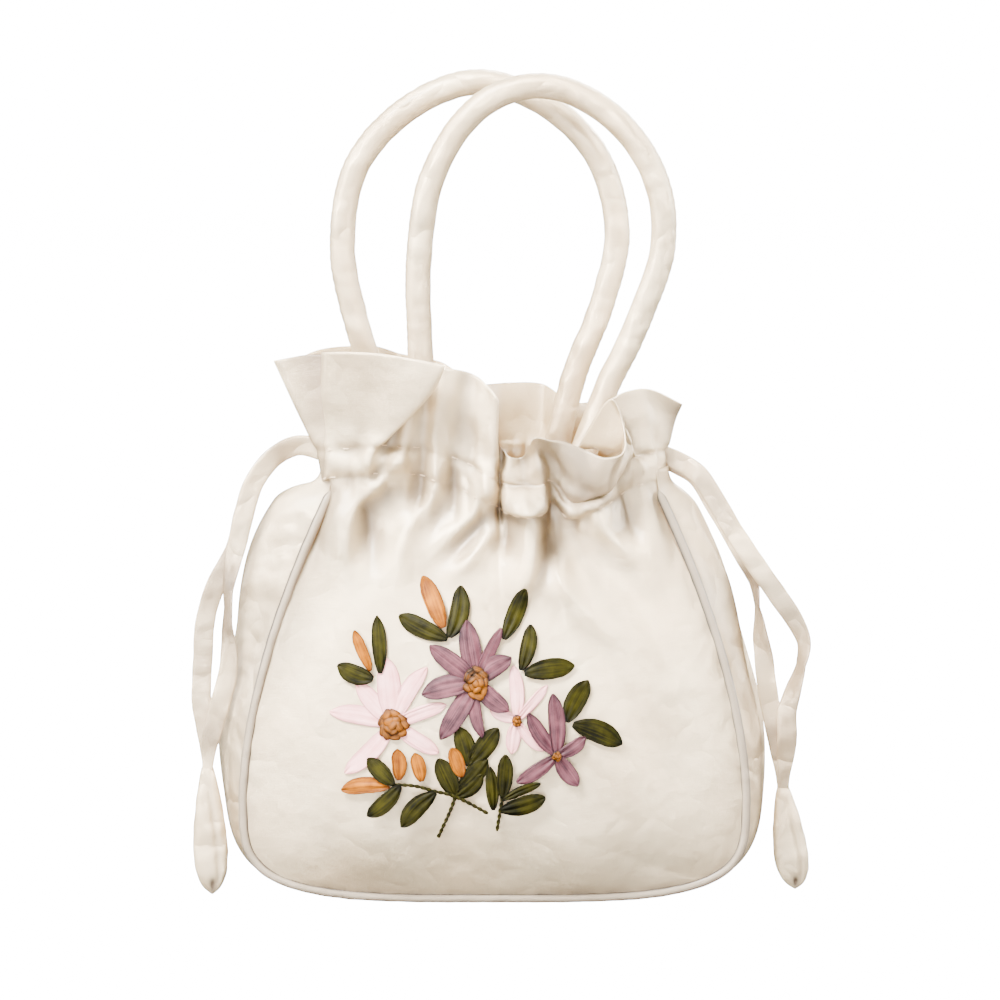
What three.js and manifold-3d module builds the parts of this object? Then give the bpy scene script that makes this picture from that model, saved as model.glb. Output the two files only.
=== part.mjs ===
import * as THREE from 'three';
import Module from 'manifold-3d';

// Satin drawstring handbag with a ribbon-embroidered front, in millimetres.
// +Z is up, the front faces -Y, and the bag stands on its flat base at Z = 0.

const wasm = await Module();
wasm.setup();
const { clamp, degToRad, lerp, smoothstep } = THREE.MathUtils;

// Cloth and seams
const WALL = 1.6;
const SEAM_GAP = 0.35;
const PIPING_D = 3.8;
const PIPING_CLEARANCE = PIPING_D / 2 + 1.8;
const COLLAR_GAP = 1.2;
const PIPING_TOP = 165.5;

// Outline of a panel, taken on the centre line of its piping
const PANEL_HALF_WIDTH = 101;
const PANEL_WIDEST_AT = 43;
const PANEL_BOTTOM = 2.7;
const PANEL_TOP_HALF_WIDTH = 66;
const PANEL_TOP = 165;
const SIDE_TAPER = 1.7;
const BOTTOM_ROUNDNESS = 3.8;

// Depth of the body, from its middle plane
const BASE_HALF_DEPTH = 36;
const NECK_HALF_DEPTH = 13;
const DEPTH_TAPER = 2.2;
const BELLY = 17;
const NECK_BELLY = 6;
const BELLY_RISE = 0.75;
const BELLY_EDGE = 2.5;

// How far up a panel the gathers of the neck begin, and how fast they grow
const GATHER_FROM = 0.5;
const GATHER_GROWTH = 2.2;

// A fold's width at its top and at its foot, as shares of the width in its table
const FOLD_TOP_SHARE = 0.7;
const FOLD_FOOT_SHARE = 1.3;

// Gusset: bulge outside the piping, larger at the left shoulder and hip
const GUSSET_TOP = 168.5;
const GUSSET_BULGE = 9;
const LEFT_SHOULDER = 12;
const RIGHT_SHOULDER = 3;
const SHOULDER_AT = 135;
const SHOULDER_SPREAD = 40;
const LEFT_HIP = 5;
const RIGHT_HIP = 2.5;
const HIP_AT = 68;
const HIP_SPREAD = 26;
const GUSSET_NECK_BULGE = 7;
const NECK_DRAWN_FROM = 152;

// Collar: stitched casing, with the ruffle above it
const CASING_HEIGHT = 12;
const CASING_LEAN = 0.12;
const RUFFLE_FLARE = 0.45;
const PUFF_AT = 0.4;

// Handles, drawstrings and tabs
const HANDLE_D = 10.4;
const RIBBON_WIDTH = 8;
const RIBBON_THICK = 1;
const TAB_WIDTH = 14.4;
const TAB_THICK = 8.6;

// Ribbon embroidery, in layers on the front panel
const LAYER_STEP = 1.1;
const STITCH_CROWN = 0.75;
const HUB_RADIUS = 3.4;
const KNOT_HEIGHT = 3.2;
const KNOT_HEIGHT_SHARE = 0.45;
const STEM_WIDTH = 1.6;
const STEM_HEIGHT = 0.9;
const BOUQUET_RISE = 3.1;
const BOUQUET_RISE_FROM = 120;
const BOUQUET_RISE_SPAN = 28;

// Mesh steps
const FRONT_ROWS = { low: 6, high: 9 };
const BACK_ROWS = { low: 5, high: 7 };
const PANEL_COLUMN = 8.2;
const FRONT_STEPS_PER_FOLD = 2;
const BACK_STEPS_PER_FOLD = 3;
const RUFFLE_ROWS = 3;
const GUSSET_STEPS = 36;
const GUSSET_ACROSS = 6;
const PIPING_STEPS = 46;
const PIPING_SIDES = 6;
const HANDLE_STEPS = 26;
const HANDLE_SIDES = 8;
const STRAND_STEPS = 14;
const TAB_SIDES = 10;
const KNOT_SIDES = 8;
const HUB_SIDES = 8;
const SIDE_SAMPLES = 24;
const CORNER_SAMPLES = 48;

// Folds of the front panel: each runs from its top to its foot and fades there
const FRONT_FOLDS = [
  { topX: -36, topZ: 172, footX: -58, footZ: 136, rise: 4, width: 6 },
  { topX: -36, topZ: 170, footX: -49, footZ: 144, rise: 2.5, width: 4 },
  { topX: -33, topZ: 168, footX: -40, footZ: 148, rise: -4, width: 5 },
  { topX: -24, topZ: 166, footX: -41, footZ: 122, rise: 3, width: 7 },
  { topX: 3, topZ: 157, footX: -13, footZ: 130, rise: 2.5, width: 5 },
  { topX: 16, topZ: 158, footX: 10, footZ: 122, rise: 5, width: 4 },
  { topX: 21, topZ: 158, footX: 28, footZ: 124, rise: -5, width: 6 },
  { topX: 20, topZ: 158, footX: 50, footZ: 105, rise: 3, width: 6 },
  { topX: 36, topZ: 159, footX: 46, footZ: 135, rise: -3, width: 5 },
  { topX: 40, topZ: 160, footX: 54, footZ: 132, rise: 3.5, width: 5 },
];

const BACK_FOLDS = [
  { topX: -45, topZ: 170, footX: -58, footZ: 128, rise: 3, width: 7 },
  { topX: -14, topZ: 169, footX: -20, footZ: 132, rise: -3, width: 6 },
  { topX: 12, topZ: 168, footX: 16, footZ: 120, rise: 3.5, width: 7 },
  { topX: 44, topZ: 169, footX: 56, footZ: 130, rise: 3, width: 7 },
];

// Collars: a row for each crest and valley, from the left parting to the right one.
// neck is the lower stitch line, top the edge of the ruffle, out the distance from the middle plane.
// flare lifts the ruffle upright before it leans out; puff swells the casing out over the panel.
const FRONT_COLLAR = [
  { neckX: -70.5, neckOut: 4.6, neckZ: 168.5, topX: -89, topOut: 5, topZ: 217, flare: 0, puff: 0 },
  { neckX: -70, neckOut: 7, neckZ: 168.6, topX: -74, topOut: 4, topZ: 219.5, flare: 0, puff: 0 },
  { neckX: -69.2, neckOut: 9.5, neckZ: 168.8, topX: -62, topOut: 8, topZ: 219.5, flare: 0, puff: 0 },
  { neckX: -67.5, neckOut: 14.5, neckZ: 170, topX: -69, topOut: 25, topZ: 222.6, flare: 0.1, puff: 1 },
  { neckX: -58, neckOut: 19, neckZ: 171.2, topX: -46, topOut: 32, topZ: 223, flare: 0.1, puff: 1.5 },
  { neckX: -51, neckOut: 23, neckZ: 172.6, topX: -19.7, topOut: 37, topZ: 218.6, flare: -0.2, puff: 1 },
  { neckX: -44, neckOut: 18, neckZ: 172.8, topX: -30, topOut: 25, topZ: 216.5, flare: 0.1, puff: 0.5 },
  { neckX: -36, neckOut: 21.5, neckZ: 172.6, topX: -29, topOut: 21, topZ: 216.5, flare: 0.3, puff: 2 },
  { neckX: -29.5, neckOut: 19, neckZ: 171.5, topX: -25, topOut: 19, topZ: 216.5, flare: 0.4, puff: 0 },
  { neckX: -24, neckOut: 21, neckZ: 170, topX: -20, topOut: 23, topZ: 216.3, flare: 0.4, puff: 0.5 },
  { neckX: -14, neckOut: 19.5, neckZ: 166.5, topX: -11, topOut: 21, topZ: 214.2, flare: 0.4, puff: 0 },
  { neckX: -6, neckOut: 23, neckZ: 163, topX: -4, topOut: 26, topZ: 209.8, flare: 0.4, puff: 0.5 },
  { neckX: -0.5, neckOut: 25, neckZ: 160.5, topX: 1.2, topOut: 31, topZ: 204, flare: 0.4, puff: 1 },
  { neckX: 2, neckOut: 19, neckZ: 158, topX: 3, topOut: 19, topZ: 183, flare: 0.3, puff: 1 },
  { neckX: 4.5, neckOut: 24, neckZ: 157.5, topX: 6, topOut: 24, topZ: 180.5, flare: 0.2, puff: 8 },
  { neckX: 12, neckOut: 24, neckZ: 157, topX: 10.5, topOut: 22.5, topZ: 180, flare: 0.1, puff: 11 },
  { neckX: 20, neckOut: 24, neckZ: 157.5, topX: 16, topOut: 34, topZ: 189.5, flare: 0.2, puff: 9 },
  { neckX: 23, neckOut: 18, neckZ: 160, topX: 21, topOut: 29, topZ: 188.5, flare: 0.4, puff: 1 },
  { neckX: 30, neckOut: 19.5, neckZ: 154.4, topX: 28, topOut: 26, topZ: 187, flare: 0.4, puff: 5 },
  { neckX: 38, neckOut: 22, neckZ: 157.5, topX: 36, topOut: 27, topZ: 184, flare: 0.4, puff: 3 },
  { neckX: 46, neckOut: 22, neckZ: 161, topX: 44, topOut: 32, topZ: 181.5, flare: 0.4, puff: 2 },
  { neckX: 51, neckOut: 19, neckZ: 164, topX: 51, topOut: 32, topZ: 183.5, flare: 0.4, puff: 1 },
  { neckX: 56, neckOut: 17, neckZ: 167, topX: 51, topOut: 23, topZ: 195, flare: 0.4, puff: 1 },
  { neckX: 61, neckOut: 15.5, neckZ: 168, topX: 47, topOut: 15, topZ: 203, flare: 0.3, puff: 1 },
  { neckX: 65, neckOut: 13, neckZ: 168.5, topX: 56, topOut: 14, topZ: 206.5, flare: 0.2, puff: 0.5 },
  { neckX: 67.5, neckOut: 9, neckZ: 168.5, topX: 63, topOut: 11, topZ: 206, flare: 0.1, puff: 0 },
  { neckX: 69.5, neckOut: 4.6, neckZ: 168.5, topX: 75.5, topOut: 5, topZ: 199.5, flare: 0, puff: 0 },
];

const BACK_COLLAR = [
  { neckX: -70.5, neckOut: 4.6, neckZ: 168.5, topX: -84, topOut: 6, topZ: 214, flare: 0.1, puff: 0 },
  { neckX: -66, neckOut: 13, neckZ: 169, topX: -72, topOut: 17, topZ: 219, flare: 0.2, puff: 1 },
  { neckX: -52, neckOut: 20, neckZ: 169.5, topX: -50, topOut: 30, topZ: 219, flare: 0.4, puff: 1 },
  { neckX: -38, neckOut: 18, neckZ: 170, topX: -38, topOut: 20, topZ: 217, flare: 0.4, puff: 1 },
  { neckX: -24, neckOut: 23, neckZ: 169, topX: -22, topOut: 33, topZ: 212, flare: 0.4, puff: 2 },
  { neckX: -10, neckOut: 18, neckZ: 168, topX: -8, topOut: 19, topZ: 205, flare: 0.4, puff: 1 },
  { neckX: 4, neckOut: 23, neckZ: 167, topX: 6, topOut: 29, topZ: 204, flare: 0.4, puff: 2 },
  { neckX: 16, neckOut: 24, neckZ: 167, topX: 20, topOut: 31, topZ: 203, flare: 0.4, puff: 2 },
  { neckX: 28, neckOut: 18, neckZ: 168, topX: 32, topOut: 20, topZ: 197, flare: 0.4, puff: 1 },
  { neckX: 42, neckOut: 22, neckZ: 169, topX: 44, topOut: 30, topZ: 196, flare: 0.4, puff: 2 },
  { neckX: 56, neckOut: 18, neckZ: 169, topX: 60, topOut: 20, topZ: 195, flare: 0.4, puff: 1 },
  { neckX: 65, neckOut: 13, neckZ: 169, topX: 67, topOut: 14, topZ: 195, flare: 0.2, puff: 1 },
  { neckX: 69.5, neckOut: 4.6, neckZ: 168.5, topX: 74, topOut: 5.5, topZ: 193, flare: 0.1, puff: 0 },
];

// Handles: centre lines from the left end behind the collar to the right end
const FRONT_HANDLE = [
  { x: -27.5, y: -10.4, z: 173 },
  { x: -29.5, y: -8, z: 215 },
  { x: -30.3, y: -8, z: 258 },
  { x: -24, y: -9, z: 293 },
  { x: -5, y: -9, z: 319.5 },
  { x: 20, y: -9, z: 327 },
  { x: 46, y: -9, z: 315.5 },
  { x: 63.5, y: -8.5, z: 292 },
  { x: 67.5, y: -8, z: 265 },
  { x: 57.5, y: -6, z: 232.5 },
  { x: 44, y: -5, z: 203 },
  { x: 33, y: -12, z: 172 },
];

const BACK_HANDLE = [
  { x: -39, y: 10, z: 174 },
  { x: -46, y: 8, z: 200 },
  { x: -56, y: 7, z: 231 },
  { x: -61.5, y: 7, z: 262 },
  { x: -55.5, y: 7, z: 294.5 },
  { x: -34, y: 7, z: 318 },
  { x: -7, y: 7, z: 328 },
  { x: 19, y: 7, z: 320 },
  { x: 41, y: 7, z: 299 },
  { x: 49.5, y: 7, z: 268 },
  { x: 43.8, y: 7, z: 239.6 },
  { x: 32.6, y: 8, z: 210 },
  { x: 24, y: 12, z: 174 },
];

// Drawstrings: route of each flat strand from the casing to its tab; roll turns its face from the front
const LEFT_STRAND_FRONT = [
  { x: -67, y: -1.4, z: 179, roll: 0 },
  { x: -79.5, y: -2.2, z: 182, roll: 0 },
  { x: -89.2, y: -7, z: 178, roll: 0 },
  { x: -97.2, y: -11, z: 167.5, roll: 0 },
  { x: -101, y: -14, z: 155, roll: 0 },
  { x: -103.4, y: -16, z: 145, roll: 10 },
  { x: -105.6, y: -17, z: 136, roll: 30 },
  { x: -107.2, y: -18, z: 125.5, roll: 60 },
  { x: -107.6, y: -19, z: 112, roll: 60 },
  { x: -107.2, y: -20, z: 101, roll: 30 },
  { x: -108, y: -20.5, z: 90.5, roll: 10 },
  { x: -110.4, y: -21, z: 81.5, roll: 0 },
  { x: -113, y: -21.5, z: 72, roll: 0 },
  { x: -115, y: -21.8, z: 64, roll: 0 },
  { x: -116.4, y: -22, z: 52.4, roll: 0 },
];

const LEFT_STRAND_BACK = [
  { x: -67, y: 1.4, z: 179.5, roll: 0 },
  { x: -80, y: 0.4, z: 182, roll: 0 },
  { x: -89.6, y: -3, z: 177.5, roll: 0 },
  { x: -97.6, y: -7, z: 167, roll: 0 },
  { x: -101.6, y: -10, z: 154.5, roll: 0 },
  { x: -104, y: -12, z: 144, roll: 0 },
  { x: -107.6, y: -13, z: 136, roll: 0 },
  { x: -111.6, y: -13.5, z: 129, roll: 0 },
  { x: -114.8, y: -14, z: 121, roll: 0 },
  { x: -117.2, y: -15, z: 111, roll: 0 },
  { x: -118, y: -16, z: 99, roll: 0 },
  { x: -118.6, y: -17, z: 88.5, roll: 0 },
  { x: -118.8, y: -18, z: 79, roll: 0 },
  { x: -117.4, y: -19, z: 70.5, roll: 0 },
  { x: -116.6, y: -19.7, z: 63, roll: 0 },
  { x: -116.4, y: -20.2, z: 52.4, roll: 0 },
];

const RIGHT_STRAND_FRONT = [
  { x: 66, y: -1.4, z: 179, roll: 0 },
  { x: 75, y: -2.2, z: 175.5, roll: 0 },
  { x: 82.4, y: -6, z: 171, roll: 0 },
  { x: 88, y: -9, z: 163, roll: 0 },
  { x: 95.2, y: -12, z: 150.8, roll: 0 },
  { x: 101.4, y: -14, z: 141.4, roll: 0 },
  { x: 107.4, y: -15, z: 132.6, roll: 0 },
  { x: 114.4, y: -15, z: 122.8, roll: 0 },
  { x: 121.2, y: -15.5, z: 112.8, roll: 20 },
  { x: 125.2, y: -16, z: 103.6, roll: 50 },
  { x: 124, y: -17, z: 94.4, roll: 70 },
  { x: 121.2, y: -17.5, z: 84.8, roll: 45 },
  { x: 118.6, y: -17.8, z: 75.2, roll: 15 },
  { x: 118.8, y: -17.6, z: 65.6, roll: 0 },
  { x: 118.2, y: -16.6, z: 54.6, roll: 0 },
  { x: 117.7, y: -15.6, z: 43, roll: 0 },
];

const RIGHT_STRAND_BACK = [
  { x: 66, y: 1.4, z: 178, roll: 0 },
  { x: 75.4, y: 0, z: 173.5, roll: 0 },
  { x: 82.8, y: -3, z: 168.5, roll: 0 },
  { x: 89.4, y: -5.5, z: 158, roll: 0 },
  { x: 96.6, y: -8, z: 146, roll: 0 },
  { x: 101.8, y: -10, z: 136, roll: 20 },
  { x: 105, y: -10.5, z: 127.2, roll: 65 },
  { x: 106.6, y: -10.8, z: 117.4, roll: 80 },
  { x: 108, y: -11.5, z: 105.4, roll: 45 },
  { x: 109.6, y: -12.5, z: 94.2, roll: 5 },
  { x: 111.2, y: -13, z: 81.6, roll: 0 },
  { x: 113.8, y: -13.3, z: 69, roll: 0 },
  { x: 116.4, y: -13.6, z: 56, roll: 0 },
  { x: 117.5, y: -13.8, z: 42.8, roll: 0 },
];

// Tabs: centre at the top and at the tip
const LEFT_TAB = { topX: -116.4, topY: -21.1, topZ: 51.2, tipX: -115, tipY: -23, tipZ: 0.6 };
const RIGHT_TAB = { topX: 117.6, topY: -14.7, topZ: 41.4, tipX: 123, tipY: -16, tipZ: 0.8 };

// Share of a tab's full width and thickness along its length
const TAB_SHAPE = [
  { along: 0, wide: 0.55, thick: 0.6 },
  { along: 0.08, wide: 0.7, thick: 0.75 },
  { along: 0.3, wide: 0.88, thick: 0.95 },
  { along: 0.55, wide: 1, thick: 1 },
  { along: 0.75, wide: 0.9, thick: 0.88 },
  { along: 0.9, wide: 0.58, thick: 0.55 },
  { along: 1, wide: 0.16, thick: 0.2 },
];

// Share of a ribbon stitch's width along it, from base to tip
const STITCH_SHAPE = [
  { along: 0, wide: 0.3 },
  { along: 0.35, wide: 0.92 },
  { along: 0.75, wide: 0.88 },
  { along: 1, wide: 0.12 },
];

// Share of a knot's width and height, from its foot up
const KNOT_DOME = [
  { share: 1, rise: 0 },
  { share: 0.85, rise: 0.55 },
  { share: 0.4, rise: 0.95 },
];

// Flowers: petals run from the centre to their tips; x and z are places on the front panel
const FLOWERS = [
  {
    name: 'mauve_flower_large', colour: 0xb18ba3, layer: 2, x: -7.2, z: 90.9, knotWide: 10, knotTall: 14.5,
    petals: [
      { x: -11, z: 117.5, width: 7.6 },
      { x: 2.6, z: 114.3, width: 5.2 },
      { x: 6.7, z: 101.3, width: 7.4 },
      { x: 5.6, z: 79.8, width: 7.2 },
      { x: -4.8, z: 69.4, width: 5.6 },
      { x: -21.4, z: 68.5, width: 6 },
      { x: -28.8, z: 86, width: 6.8 },
      { x: -25.6, z: 106.7, width: 7.2 },
    ],
  },
  {
    name: 'mauve_flower_small', colour: 0xb493ab, layer: 2, x: 24.7, z: 61.9, knotWide: 4.6, knotTall: 5,
    petals: [
      { x: 23, z: 86.4, width: 6.8 },
      { x: 13.2, z: 78.9, width: 6 },
      { x: 36, z: 69.2, width: 6 },
      { x: 33.2, z: 49.9, width: 6 },
      { x: 8.8, z: 51.6, width: 6 },
    ],
  },
  {
    name: 'pink_flower_large', colour: 0xf0dcdf, layer: 0, x: -40.2, z: 73.5, knotWide: 12, knotTall: 12,
    petals: [
      { x: -42.7, z: 99.6, width: 8.4 },
      { x: -26.8, z: 96.4, width: 6 },
      { x: -19, z: 81.8, width: 6 },
      { x: -22.2, z: 62.7, width: 7.2 },
      { x: -59.4, z: 53.8, width: 7.2 },
      { x: -65.6, z: 77.7, width: 6.4 },
      { x: -54.8, z: 89.3, width: 6.4 },
    ],
  },
  {
    name: 'pink_flower_small', colour: 0xf3e0e2, layer: 0, x: 8.8, z: 75.7, knotWide: 4.4, knotTall: 6,
    petals: [
      { x: 7.6, z: 97.2, width: 5 },
      { x: 21, z: 89.3, width: 4.5 },
      { x: -1.8, z: 80.2, width: 5.2 },
      { x: 6.7, z: 62.7, width: 5 },
      { x: 19.4, z: 63.5, width: 4.6 },
    ],
  },
];

// Leaf sprays: each leaf from its base to its tip, with the stems that carry them
const SPRAYS = [
  {
    name: 'leaf_spray_top', layer: 1, stems: [],
    leaves: [
      { baseX: -18, baseZ: 109.4, tipX: -37.4, tipZ: 119.8, width: 7.2 },
      { baseX: -18, baseZ: 109, tipX: -12.9, tipZ: 130.3, width: 7.6 },
    ],
  },
  {
    name: 'leaf_spray_left', layer: 1, stems: [],
    leaves: [
      { baseX: -46.4, baseZ: 92.4, tipX: -46.8, tipZ: 118.6, width: 6 },
      { baseX: -46.2, baseZ: 92.8, tipX: -62.1, tipZ: 96.6, width: 6.8 },
    ],
  },
  {
    name: 'leaf_upper_right', layer: 1, stems: [],
    leaves: [{ baseX: 4.5, baseZ: 109.6, tipX: 11.2, tipZ: 129.4, width: 6 }],
  },
  {
    name: 'leaf_spray_right_upper', layer: 1, stems: [],
    leaves: [
      { baseX: 11.6, baseZ: 95.6, tipX: 14.4, tipZ: 115, width: 6.4 },
      { baseX: 11.2, baseZ: 95.8, tipX: 31.6, tipZ: 98.4, width: 7.2 },
    ],
  },
  {
    name: 'leaf_spray_right', layer: 1, stems: [],
    leaves: [
      { baseX: 31, baseZ: 74.6, tipX: 37.3, tipZ: 91.8, width: 7.2 },
      { baseX: 30.6, baseZ: 75, tipX: 51.2, tipZ: 67.7, width: 7.6 },
    ],
  },
  {
    name: 'leaf_spray_middle', layer: 1,
    stems: [
      [
        { x: -8, z: 66 },
        { x: -9.2, z: 59.5 },
        { x: -13, z: 52 },
        { x: -17.2, z: 40.4 },
        { x: -22.4, z: 28.4 },
      ],
    ],
    leaves: [
      { baseX: -10, baseZ: 58.2, tipX: -14.1, tipZ: 73.1, width: 6.8 },
      { baseX: -9.8, baseZ: 58.6, tipX: 1.4, tipZ: 73.1, width: 7 },
      { baseX: -15.4, baseZ: 45.6, tipX: -22.2, tipZ: 60.7, width: 7 },
      { baseX: -14, baseZ: 48.4, tipX: -2.7, tipZ: 60.7, width: 6.4 },
      { baseX: -15.2, baseZ: 45, tipX: -4.7, tipZ: 54.5, width: 5.6 },
    ],
  },
  {
    name: 'leaf_spray_low_right', layer: 3,
    stems: [
      [
        { x: 5.2, z: 58 },
        { x: 3.2, z: 46.2 },
        { x: 1, z: 31.8 },
      ],
    ],
    leaves: [
      { baseX: 1.8, baseZ: 38.2, tipX: -1.8, tipZ: 58.2, width: 4.4 },
      { baseX: 3.2, baseZ: 45.8, tipX: 4.3, tipZ: 63.1, width: 6.4 },
      { baseX: 3, baseZ: 44.6, tipX: 18.2, tipZ: 51.2, width: 3.4 },
      { baseX: 2.4, baseZ: 40.4, tipX: 20.2, tipZ: 45.4, width: 6.8 },
    ],
  },
  {
    name: 'leaf_spray_low_left', layer: 3,
    stems: [
      [
        { x: -41.2, z: 50.7 },
        { x: -31.2, z: 49.9 },
        { x: -24, z: 47.8 },
        { x: -17.4, z: 46.2 },
        { x: -10.8, z: 43.3 },
        { x: -2.6, z: 38.8 },
      ],
    ],
    leaves: [
      { baseX: -39.8, baseZ: 50.8, tipX: -50.4, tipZ: 60.7, width: 6 },
      { baseX: -37.2, baseZ: 50.4, tipX: -50.4, tipZ: 37.9, width: 6.8 },
      { baseX: -23.4, baseZ: 47.6, tipX: -37, tipZ: 33.8, width: 6.8 },
    ],
  },
];

const BUDS = [
  { name: 'bud_top', baseX: -20.2, baseZ: 115, tipX: -28.4, tipZ: 134.4, width: 7 },
  { name: 'bud_left', baseX: -49.6, baseZ: 96.8, tipX: -55.7, tipZ: 112.9, width: 5.2 },
  { name: 'bud_middle', baseX: -12.9, baseZ: 53.6, tipX: -17, tipZ: 65.2, width: 6 },
  { name: 'bud_low_left', baseX: -41.6, baseZ: 50, tipX: -60.8, tipZ: 47.6, width: 7 },
  { name: 'bud_low_upright', baseX: -37.8, baseZ: 52.4, tipX: -38.6, tipZ: 64.5, width: 6.6 },
  { name: 'bud_low_inner', baseX: -28.8, baseZ: 51.8, tipX: -31.6, tipZ: 63.1, width: 6.6 },
];
const BUD_LAYER = 2;

// Closed solids

function closedGeometry(points, faces) {
  let volume = 0;
  const normal = new THREE.Vector3();
  for (const [a, b, c] of faces) {
    volume += points[a].dot(normal.crossVectors(points[b], points[c]));
  }
  const outward = volume > 0 ? faces : faces.map(([a, b, c]) => [a, c, b]);
  const geometry = new THREE.BufferGeometry().setFromPoints(points);
  geometry.setIndex(outward.flat());
  geometry.computeVertexNormals();
  return geometry;
}

// A wall of even thickness behind a grid of points on its outer face
function shell(rows) {
  const across = rows[0].length;
  const outer = rows.flat();
  const normals = outer.map(() => new THREE.Vector3());
  const faces = [];
  for (let i = 0; i < rows.length - 1; i += 1) {
    for (let j = 0; j < across - 1; j += 1) {
      const a = i * across + j;
      faces.push([a, a + 1, a + 1 + across], [a, a + 1 + across, a + across]);
    }
  }
  for (const face of faces) {
    const [a, b, c] = face.map((k) => outer[k]);
    const area = b.clone().sub(a).cross(c.clone().sub(a));
    face.forEach((k) => normals[k].add(area));
  }
  const inner = outer.map((point, k) => point.clone().addScaledVector(normals[k].normalize(), -WALL));
  const count = outer.length;
  const lastRow = (rows.length - 1) * across;
  const columns = [...Array(across).keys()];
  const heights = [...rows.keys()];
  const loop = [
    ...columns,
    ...heights.slice(1).map((i) => i * across + across - 1),
    ...columns.slice(0, -1).reverse().map((j) => lastRow + j),
    ...heights.slice(1, -1).reverse().map((i) => i * across),
  ];
  const back = faces.map(([a, b, c]) => [a + count, c + count, b + count]);
  const rim = loop.flatMap((p, k) => {
    const q = loop[(k + 1) % loop.length];
    return [[q, p, p + count], [q, p + count, q + count]];
  });
  return closedGeometry([...outer, ...inner], [...faces, ...back, ...rim]);
}

// A closed skin over rings of equal count, capped at both ends
function skin(rings) {
  const sides = rings[0].length;
  const last = (rings.length - 1) * sides;
  const faces = [];
  for (let k = 0; k < rings.length - 1; k += 1) {
    for (let i = 0; i < sides; i += 1) {
      const a = k * sides + i;
      const b = k * sides + ((i + 1) % sides);
      faces.push([a, b, b + sides], [a, b + sides, a + sides]);
    }
  }
  for (let i = 1; i < sides - 1; i += 1) {
    faces.push([0, i + 1, i], [last, last + i, last + i + 1]);
  }
  return closedGeometry(rings.flat(), faces);
}

function tube(path, diameter, steps, sides) {
  const circle = [...Array(sides).keys()].map((i) => {
    const turn = (2 * Math.PI * i) / sides;
    return new THREE.Vector2(Math.cos(turn), Math.sin(turn)).multiplyScalar(diameter / 2);
  });
  const section = new THREE.Shape(circle);
  return new THREE.ExtrudeGeometry(section, { extrudePath: path, steps, bevelEnabled: false });
}

function fuse(geometries) {
  const solids = geometries.map((geometry) => new wasm.Manifold(new wasm.Mesh({
    numProp: 3,
    vertProperties: new Float32Array(geometry.getAttribute('position').array),
    triVerts: new Uint32Array(geometry.getIndex().array),
  })));
  const mesh = solids.reduce((whole, solid) => whole.add(solid)).getMesh();
  const geometry = new THREE.BufferGeometry();
  geometry.setAttribute('position', new THREE.BufferAttribute(mesh.vertProperties, 3));
  geometry.setIndex(new THREE.BufferAttribute(mesh.triVerts, 1));
  geometry.computeVertexNormals();
  return geometry;
}

// Shape of the body

function sideHalfWidth(z) {
  const rise = clamp((z - PANEL_WIDEST_AT) / (PANEL_TOP - PANEL_WIDEST_AT), 0, 1);
  const drawnIn = (PANEL_HALF_WIDTH - PANEL_TOP_HALF_WIDTH) * rise ** SIDE_TAPER;
  return PANEL_HALF_WIDTH - drawnIn;
}

// 0 in the middle of a panel, 1 on its piping
function edgeShare(x, z) {
  const out = Math.abs(x) / sideHalfWidth(z);
  const down = Math.max(0, (PANEL_WIDEST_AT - z) / (PANEL_WIDEST_AT - PANEL_BOTTOM));
  return Math.min(1, (out ** BOTTOM_ROUNDNESS + down ** BOTTOM_ROUNDNESS) ** (1 / BOTTOM_ROUNDNESS));
}

function pipingDepth(z) {
  return lerp(BASE_HALF_DEPTH, NECK_HALF_DEPTH, clamp(z / PANEL_TOP, 0, 1) ** DEPTH_TAPER);
}

function plainDepth(x, z) {
  const height = clamp(z / PANEL_TOP, 0, 1) ** BELLY_RISE;
  const belly = NECK_BELLY + (BELLY - NECK_BELLY) * Math.sin(Math.PI * height);
  return pipingDepth(z) + belly * (1 - edgeShare(x, z) ** BELLY_EDGE);
}

function foldRelief(folds, x, z) {
  return folds.reduce((relief, fold) => {
    const down = clamp((fold.topZ - z) / (fold.topZ - fold.footZ), 0, 1);
    const middle = lerp(fold.topX, fold.footX, down);
    const width = fold.width * lerp(FOLD_TOP_SHARE, FOLD_FOOT_SHARE, down);
    return relief + fold.rise * (1 - smoothstep(down, 0, 1)) * Math.exp(-(((x - middle) / width) ** 2));
  }, 0);
}

// The lower stitch line of a collar as a function of x
function neckLine(collar) {
  const line = new THREE.CatmullRomCurve3(
    collar.map((row) => new THREE.Vector3(row.neckX, row.neckOut, row.neckZ)),
  ).getPoints(collar.length * 12);
  return (x) => {
    const next = clamp(line.findIndex((point) => point.x >= x), 1, line.length - 1);
    const share = clamp((x - line[next - 1].x) / (line[next].x - line[next - 1].x), 0, 1);
    return line[next - 1].clone().lerp(line[next], share);
  };
}

const FRONT = {
  sign: -1,
  folds: FRONT_FOLDS,
  collar: FRONT_COLLAR,
  neck: neckLine(FRONT_COLLAR),
  steps: FRONT_STEPS_PER_FOLD,
};
const BACK = {
  sign: 1,
  folds: BACK_FOLDS,
  collar: BACK_COLLAR,
  neck: neckLine(BACK_COLLAR),
  steps: BACK_STEPS_PER_FOLD,
};

// Distance of a panel's outer face from the middle plane, gathered into the neck at the top
function panelDepth(side, x, z) {
  const neck = side.neck((x / sideHalfWidth(z)) * PANEL_TOP_HALF_WIDTH);
  const rise = (z - PANEL_WIDEST_AT) / (neck.z - PANEL_WIDEST_AT);
  const pull = clamp((rise - GATHER_FROM) / (1 - GATHER_FROM), 0, 1) ** GATHER_GROWTH;
  return lerp(plainDepth(x, z) + foldRelief(side.folds, x, z), neck.y, pull);
}

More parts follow.
